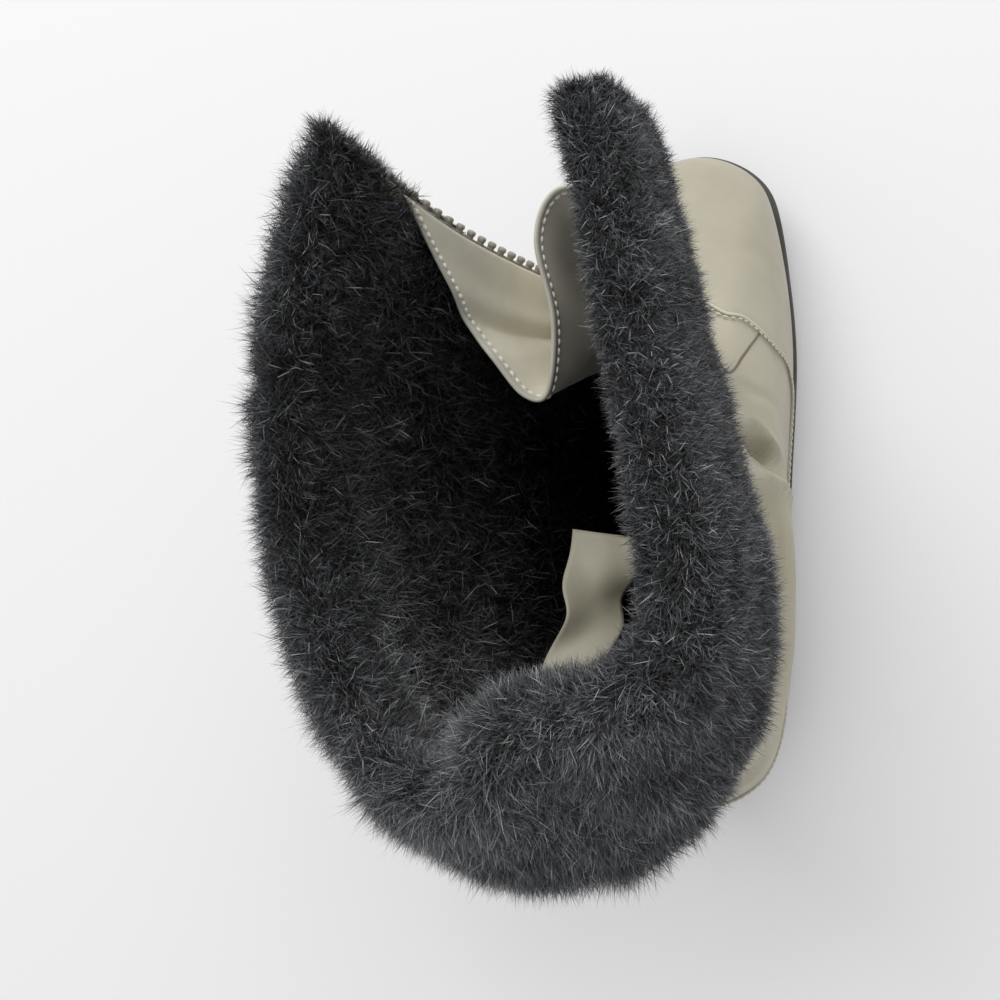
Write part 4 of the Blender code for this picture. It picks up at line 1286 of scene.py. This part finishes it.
def plant(points, weight, count, rng):
    """Random places on a sheet, evenly by area times weight, as rows and columns with shares."""
    down, across = np.diff(points, axis=0)[:, :-1], np.diff(points, axis=1)[:-1]
    area = np.linalg.norm(np.cross(down, across), axis=2) * weight
    cell = rng.choice(area.size, size=count, p=area.ravel() / area.sum())
    row, column = np.divmod(cell, area.shape[1])
    return row + rng.random(count), column + rng.random(count)


def on_sheet(table, rows, columns):
    """Values of a table between its rows and columns."""
    row, column = np.floor(rows).astype(int), np.floor(columns).astype(int)
    down, across = (rows - row)[:, None], (columns - column)[:, None]
    first = table[row, column] * (1.0 - across) + table[row, column + 1] * across
    second = table[row + 1, column] * (1.0 - across) + table[row + 1, column + 1] * across
    return first * (1.0 - down) + second * down


def drift(places, size):
    """Smooth random directions that change over a given size, so hairs gather in locks."""
    return np.array([noise.noise_vector(Vector(place) / size)[:] for place in places])


def fine_hairs(roots, ahead, bend, reach, side):
    """Straight hairs, each one face from its root to its tip, with its corners and their map."""
    tip = roots + reach * unit(ahead + FINE_TURN * bend)
    across, up = (0.15, 0.85, 0.5), (0.0, 0.0, 1.0)
    return np.stack([roots - side, roots + side, tip], axis=1), (0, 1, 2), across, up


def curled_hairs(roots, ahead, bend, reach, side):
    """Bent hairs, each two faces that widen to a bend and taper to a tip."""
    middle = roots + HAIR_BEND * reach * unit(ahead + HAIR_LEAD * bend)
    tip = middle + (1.0 - HAIR_BEND) * reach * unit(ahead + bend)
    across = (0.5, 0.85, 0.15, 0.15, 0.85, 0.5)
    up = (0.0, HAIR_BEND, HAIR_BEND, HAIR_BEND, HAIR_BEND, 1.0)
    return np.stack([roots, middle + side, middle - side, tip], axis=1), (0, 1, 2, 2, 1, 3), across, up


def grow_hairs(name, roots, ahead, bend, lengths, tones, rng):
    """Piece of flat hairs, most of them straight and fine, the rest bent."""
    side = unit(np.cross(ahead, rng.normal(size=roots.shape))) / 2.0
    tone = np.floor(np.clip(tones, 0.0, 0.999) * TONES)
    fine = int(FINE_SHARE * len(roots))
    verts, loops, places, start = [], [], [], 0
    for shape, width, some in (
        (fine_hairs, FINE_WIDTH, slice(0, fine)),
        (curled_hairs, HAIR_WIDTH, slice(fine, None)),
    ):
        made, corners, across, up = shape(
            roots[some], ahead[some], bend[some], lengths[some, None], width * side[some]
        )
        first = start + made.shape[1] * np.arange(len(made))
        start += made.shape[0] * made.shape[1]
        verts.append(made.reshape(-1, 3))
        loops.append((first[:, None] + np.array(corners)[None]).ravel())
        strand = (tone[some, None] + np.array(across)[None]) / TONES
        height = np.broadcast_to(np.array(up), strand.shape)
        places.append(np.stack([strand, height], axis=2).reshape(-1, 2))
    verts, loops, places = (np.concatenate(items) for items in (verts, loops, places))
    mesh = bpy.data.meshes.new(name)
    mesh.vertices.add(len(verts))
    mesh.vertices.foreach_set("co", (verts * MM).astype(np.float32).ravel())
    mesh.loops.add(len(loops))
    mesh.loops.foreach_set("vertex_index", loops.astype(np.int32))
    mesh.polygons.add(len(loops) // 3)
    mesh.polygons.foreach_set("loop_start", np.arange(0, len(loops), 3, dtype=np.int32))
    mesh.update(calc_edges=True)
    mesh.uv_layers.new(name="OFBake").data.foreach_set("uv", places.astype(np.float32).ravel())
    mesh.shade_smooth()
    mesh.materials.append(HAIR)
    obj = bpy.data.objects.new(name, mesh)
    bpy.context.scene.collection.objects.link(obj)
    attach(obj, "boot")


def room_ahead(tree, roots, ahead):
    """How long each hair may be before it meets a sheet."""
    hits = (tree.ray_cast(Vector(root), Vector(way)) for root, way in zip(roots, ahead))
    return np.array([max(hit[3] - HAIR_CLEAR, HAIR_LEAST) if hit[3] else HAIR_ROOM for hit in hits])


def off_skin(ways, out):
    """Hairs' ways turned where needed so that they leave their backing."""
    low = np.maximum(0.0, HAIR_RISE - (ways * out).sum(axis=1))
    return ways + low[:, None] * out


def cuff_skin():
    """Backing of the cuff's fur, row by column from inside the collar over the rim to the hem."""
    section = np.array([row[1:] for row in CUFF_SKIN])
    section = through(section, np.linspace(0.0, len(section) - 1.0, CUFF_ROWS))
    flat = 1.0 - FLAT_SHARE * smooth(*FLAT_STATIONS, SKIN_COLUMNS)
    flat = (flat - SLIM_SHARE * smooth(*SLIM_STATIONS, SKIN_COLUMNS))[:, None]
    reach = END_SHARE * np.array(CUFF_ENDS)[:, None]
    rows = []
    for height, rise, out in section:
        level = np.array([min(CUFF + height, float(RIM))])
        points, normals, up = (item[0] for item in wall_frame(SKIN_COLUMNS, level))
        row = points + rise * up + (out * flat if out < 0.0 else out) * normals
        ends = row[[0, -1]] + reach * unit(points[[0, -1]] - points[[2, -3]])
        rows.append(np.concatenate([ends[:1], row, ends[1:]]))
    return np.array(rows)


def grow_pile(name, skin, ways, lengths, weights, tones, count, seed, tree):
    """Pile on a backing, from tables of its points and its hairs' ways, lengths, density and tones."""
    rng = np.random.default_rng(seed)
    rows, columns = plant(skin, weights[:-1, :-1], count, rng)
    roots = on_sheet(skin, rows, columns)
    loose = sum(strength * drift(roots, size) for size, strength in HAIR_LOCKS)
    loose = loose + rng.normal(0.0, HAIR_STRAY, roots.shape)
    out = unit(np.cross(np.gradient(skin, axis=1), np.gradient(skin, axis=0)))
    out = out * np.sign((out * ways).sum(axis=2, keepdims=True))
    out = unit(on_sheet(out, rows, columns))
    ahead = unit(off_skin(unit(on_sheet(ways, rows, columns) + loose), out))
    shift, size = HAIR_CURLS
    bend = HAIR_CURL * drift(roots + shift, size) + rng.normal(0.0, HAIR_CURL, roots.shape)
    bend = off_skin(ahead + bend, out) - ahead
    reach = on_sheet(lengths[..., None], rows, columns)[:, 0] * rng.normal(1.0, HAIR_UNEVEN, count)
    reach *= 1.0 + sum(share * drift(roots + shift, size)[:, 0] for shift, size, share in HAIR_TUFTS)
    for turn in (0.0, FINE_TURN, 1.0):
        reach = np.minimum(reach, room_ahead(tree, roots, ahead + turn * bend))
    size, share = TONE_CLOUD
    tone = on_sheet(tones[..., None], rows, columns)[:, 0] + share * drift(roots, size)[:, 0]
    grow_hairs(name, roots, ahead, bend, reach, tone + rng.normal(0.0, TONE_SPREAD, count), rng)


def end_sheet(skin, column):
    """Sheet across the cuff's end, between the inner and outer halves of its section."""
    edge = skin[:, column]
    half = len(edge) // 2 + 1
    share = np.linspace(0.0, 1.0, 6)[None, :, None]
    return edge[:half, None] * (1.0 - share) + edge[::-1][:half, None] * share


def cuff_ways(skin, around, stations, down, inside):
    """Ways of the cuff's hairs, and how firmly they keep to them."""
    along = np.gradient(skin, axis=0)
    over = COMB_OVER * smooth(0.0, 0.15, down) - COMB_BACK * smooth(0.45, 0.75, down)
    lean = COMB_DOWN * smooth(0.45, 0.95, down) + over * smooth(*FLAT_STATIONS, stations)
    ahead = smooth(0.5, 0.0, LAST_STATION - stations) - smooth(0.5, 0.0, stations)
    ahead = (COMB_PAST + COMB_ZIP * inside) * ahead
    ways = unit(np.cross(around, along)) + lean[..., None] * unit(along) + ahead[..., None] * around
    return (1.0 - COMB_LOOSE * smooth(5.5, 4.0, stations))[..., None] * unit(ways)


def cuff_lengths(stations, down, inside):
    """Lengths of the cuff's hairs, trimmed outside the zip's end and longer over it inside."""
    at, far, near = np.array(CUFF_LENGTHS).T
    outer, inner = (np.interp(stations, at, length) for length in (far, near))
    lengths = inner + (outer - inner) * smooth(0.2, 0.5, down)
    lengths = lengths * (1.0 - HEM_TRIM * smooth(13.2, 13.9, stations) * smooth(0.62, 0.8, down))
    return lengths * (1.0 + ZIP_COVER * smooth(13.0, 13.6, stations) * inside)


def cuff_tones(stations, down):
    """Tones of the cuff's hairs, with painted shade inside the outer flap and painted light at the heel.
    """
    middle, spread = HEEL_LIGHT_SPAN
    tones = CUFF_TONE - CUFF_FLAP_PAINTED_SHADE * smooth(9.0, 11.0, stations) * smooth(0.5, 0.0, down)
    return tones + HEEL_PAINTED_LIGHT * np.exp(-(((stations - middle) / spread) ** 2)) * np.ones_like(down)


def make_cuff(tree):
    """Fur cuff: a thin backing closed at its ends and the hairs that stand out of it."""
    skin = cuff_skin()
    around = unit(np.gradient(skin, axis=1))
    ends = [end_sheet(skin, column) for column in (0, -1)]
    bm = bmesh.new()
    add_sheet(bm, skin[::2, ::2], flip=False)
    for sheet in ends:
        add_sheet(bm, sheet[::2], flip=False)
    bmesh.ops.remove_doubles(bm, verts=bm.verts, dist=0.05)
    bmesh.ops.recalc_face_normals(bm, faces=bm.faces)
    backing = add_piece("cuff_backing", bm, PILE)
    add_wall(backing, FUR_BACKING, -1.0)
    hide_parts("fur_cuff")

    stations = np.concatenate([[0.0], SKIN_COLUMNS, [float(LAST_STATION)]])[None]
    down = np.linspace(0.0, 1.0, len(skin))[:, None]
    inside = smooth(*FLAT_STATIONS, stations) * smooth(0.5, 0.3, down)
    ways = cuff_ways(skin, around, stations, down, inside)
    lengths = cuff_lengths(stations, down, inside)
    even = np.ones_like(lengths)
    tones = cuff_tones(stations, down)
    for seed, (name, low, high) in enumerate(CUFF_PIECES):
        part = (slice(None), slice(low, high + 1))
        tables = (item[part] for item in (skin, ways, lengths, even, tones))
        grow_pile(name, *tables, CUFF_HAIRS, seed, tree)
    for seed, (name, column, sign, longest, bare, count) in enumerate(CUFF_TUFTS):
        sheet = ends[column]
        even = np.ones(sheet.shape[:2])
        spread = sheet - sheet.mean(axis=(0, 1))
        ways = unit(sign * np.mean(around[:, column], axis=0) + TUFT_FAN * spread)
        grown = smooth(bare, bare + TUFT_EASE, np.linspace(0.0, 1.0, len(sheet)))[:, None]
        lengths = longest * even * (TUFT_LEAST + (1.0 - TUFT_LEAST) * grown)
        grow_pile(name, sheet, ways, lengths, even, 0.5 * even, count, 40 + seed, tree)


def lining_skin():
    """Backing of the lining's fur and the levels of its rows."""
    levels = np.linspace(*LINING_LEVELS)
    columns = np.linspace(LINING_EDGES[0], LAST_STATION - LINING_EDGES[1], LINING_COLUMNS)
    points, normals, up = slack_wall(columns, levels)
    return points - (UPPER_WALL + LINING_DEPTH) * normals, -normals, up, levels, columns


def make_lining(tree):
    """Fur lining of the shaft: a backing and hairs that lean up to the collar."""
    skin, inward, up, levels, columns = lining_skin()
    bm = bmesh.new()
    add_sheet(bm, skin[::2, ::2], flip=False)
    backing = add_piece("lining_backing", bm, FLEECE)
    add_wall(backing, FUR_BACKING, -1.0)
    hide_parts("fur_lining")

    levels, columns = levels[:, None], columns[None]
    even = np.ones(skin.shape[:2])
    weights = (0.25 + 0.75 * smooth(5.6, 6.6, levels)) * even
    label = (levels > 6.3) & (columns > 6.2) & (columns < 7.5)
    weights = np.where(label, LABEL_THIN * weights, weights)
    edges = (columns, LAST_STATION - columns)
    inner_trim, outer_trim = (trim * smooth(1.0, 0.2, edge) for trim, edge in zip(LINING_TRIMS, edges))
    lengths = (LINING_LENGTH - inner_trim - outer_trim) * even
    # Painted light: a pale patch of tone on the lining by the heel, near the collar
    middle, spread = LINING_HEEL_LIGHT
    heel = np.exp(-(((columns - middle) / spread) ** 2))
    # Painted shade: tones darkest deep in the shaft, rising towards the collar
    deep, rise, pale = LINING_SHADE_AND_LIGHT
    tones = (deep + rise * smooth(6.4, 7.6, levels)) * even + pale * heel * smooth(5.8, 6.7, levels)
    lateral = smooth(9.3, 11.3, columns)
    inner_comb, outer_comb = (comb * smooth(0.8, 0.0, edge) for comb, edge in zip(LINING_ASIDE, edges))
    aside = inner_comb - outer_comb
    around = unit(np.gradient(skin, axis=1))
    ways = (1.0 - 0.5 * lateral)[..., None] * inward + (0.25 + 0.75 * lateral)[..., None] * up
    ways = unit(ways + aside[..., None] * around)
    half = skin.shape[1] // 2
    for seed, (name, part) in enumerate(
        (
            ("lining_hair_inner", np.s_[:, : half + 1]),
            ("lining_hair_outer", np.s_[:, half:]),
        )
    ):
        tables = (item[part] for item in (skin, ways, lengths, weights, tones))
        grow_pile(name, *tables, LINING_HAIRS, 20 + seed, tree)


def slider_seat():
    """Seat of the slider over the foot of the slit: X across, Y down the zip, Z out of the wall."""
    edges = np.array([0.0, float(LAST_STATION)])
    points, normals, _ = wall_frame(edges, np.array([SLIDER_LEVEL]))
    point, normal = points[0].mean(axis=0), normals[0].mean(axis=0)
    normal[0] = 0.0
    normal = unit(normal)
    across = np.array([1.0, 0.0, 0.0])
    turn = Matrix((across, np.cross(normal, across), normal)).transposed().to_4x4()
    return Matrix.Translation(Vector(point + SLIDER_SEAT * normal)) @ turn


def add_bar(bm, size, place, narrow=1.0):
    """Cast bar with eased edges, narrower at its lower end if wanted."""
    verts = bmesh.ops.create_cube(bm, size=1.0)["verts"]
    bmesh.ops.scale(bm, vec=size, verts=verts)
    lower = [vert for vert in verts if vert.co.y > 0.0]
    bmesh.ops.scale(bm, vec=(narrow, 1.0, 1.0), verts=lower)
    bmesh.ops.translate(bm, vec=place, verts=verts)
    edges = list({edge for vert in verts for edge in vert.link_edges})
    bmesh.ops.bevel(
        bm, geom=edges, offset=CAST_EASE, segments=2, profile=0.5, affect="EDGES", material=-1
    )


def make_slider():
    """Slider of two plates with a wire bridge, and the ribs of its tab, which keeps its solid."""
    seat = slider_seat()
    bm = bmesh.new()
    for _, size, place, narrow in SLIDER_BARS:
        add_bar(bm, size, place, narrow)
    turn = np.linspace(0.0, math.pi, BRIDGE_SAMPLES)
    out = np.stack([np.zeros_like(turn), np.cos(turn), np.sin(turn)], axis=1)
    foot = np.array([0.0, 0.0, SLIDER_TOP - BRIDGE_SINK])
    add_tube(bm, BRIDGE_RADIUS * out + foot, out, BRIDGE_WIRE, TUBE_SIDES)
    bmesh.ops.recalc_face_normals(bm, faces=bm.faces)
    bmesh.ops.transform(bm, matrix=seat, verts=bm.verts)
    slider = add_piece("slider_enamel", bm, ENAMEL, smooth_faces=False)
    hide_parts("zip_slider")

    ribs = bmesh.new()
    for y in PULL_RIBS:
        add_bar(ribs, PULL_RIB, (0.0, y, 0.0))
    pin = Matrix.Translation((0.0, 0.0, SLIDER_TOP + PIN_HEIGHT)) @ Matrix.Rotation(PULL_REST, 4, "X")
    bmesh.ops.transform(ribs, matrix=seat @ pin, verts=ribs.verts)
    add_piece("pull_ribs", ribs, ENAMEL, body="pull", smooth_faces=False)
    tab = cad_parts["zip_pull"].data
    tab.materials.clear()
    tab.materials.append(ENAMEL)


def make_stage():
    """Pale floor, soft light from the toe's side, and the camera over the boot."""
    scene = bpy.context.scene
    bm = bmesh.new()
    bmesh.ops.create_grid(bm, x_segments=1, y_segments=1, size=FLOOR_HALF)
    mesh = bpy.data.meshes.new("floor")
    bm.to_mesh(mesh)
    bm.free()
    floor = bpy.data.objects.new("floor", mesh)
    material, _, shader = start_finish("pale floor", 0.9)
    shader.inputs["Base Color"].default_value = FLOOR_TONE
    shader.inputs["Specular IOR Level"].default_value = 0.1
    mesh.materials.append(material)
    scene.collection.objects.link(floor)

    world = bpy.data.worlds.new("soft daylight")
    world.use_nodes = True
    sky = world.node_tree.nodes["Background"].inputs
    sky["Color"].default_value = SKY_TONE
    sky["Strength"].default_value = SKY_STRENGTH
    scene.world = world
    for name, place, size, power in LIGHTS:
        lamp = bpy.data.lights.new(name, "AREA")
        lamp.size = size
        lamp.energy = power
        light = bpy.data.objects.new(name, lamp)
        light.location = place
        towards = LIGHT_AIM - Vector(place)
        light.rotation_euler = towards.to_track_quat("-Z", "Y").to_euler()
        scene.collection.objects.link(light)

    lens = bpy.data.cameras.new("camera")
    lens.lens = CAMERA_LENS
    lens.sensor_width = 36.0
    lens.clip_start = 0.01
    camera = bpy.data.objects.new("camera", lens)
    place, aim = Vector(CAMERA_PLACE) * MM, Vector(CAMERA_AIM) * MM
    back = (place - aim).normalized()
    right = Vector((0.0, 1.0, 0.0)).cross(back).normalized()
    turn = Matrix((right, back.cross(right), back)).transposed().to_4x4()
    camera.matrix_world = Matrix.Translation(place) @ turn
    scene.collection.objects.link(camera)
    scene.camera = camera
    scene.view_settings.view_transform = "Standard"


make_upper()
make_seams()
make_outsole()
make_insole()
make_gusset()
make_zip("outer")
make_zip("inner")
make_label()
guard = gusset_guard()
make_cuff(guard)
make_lining(guard)
make_slider()
make_stage()
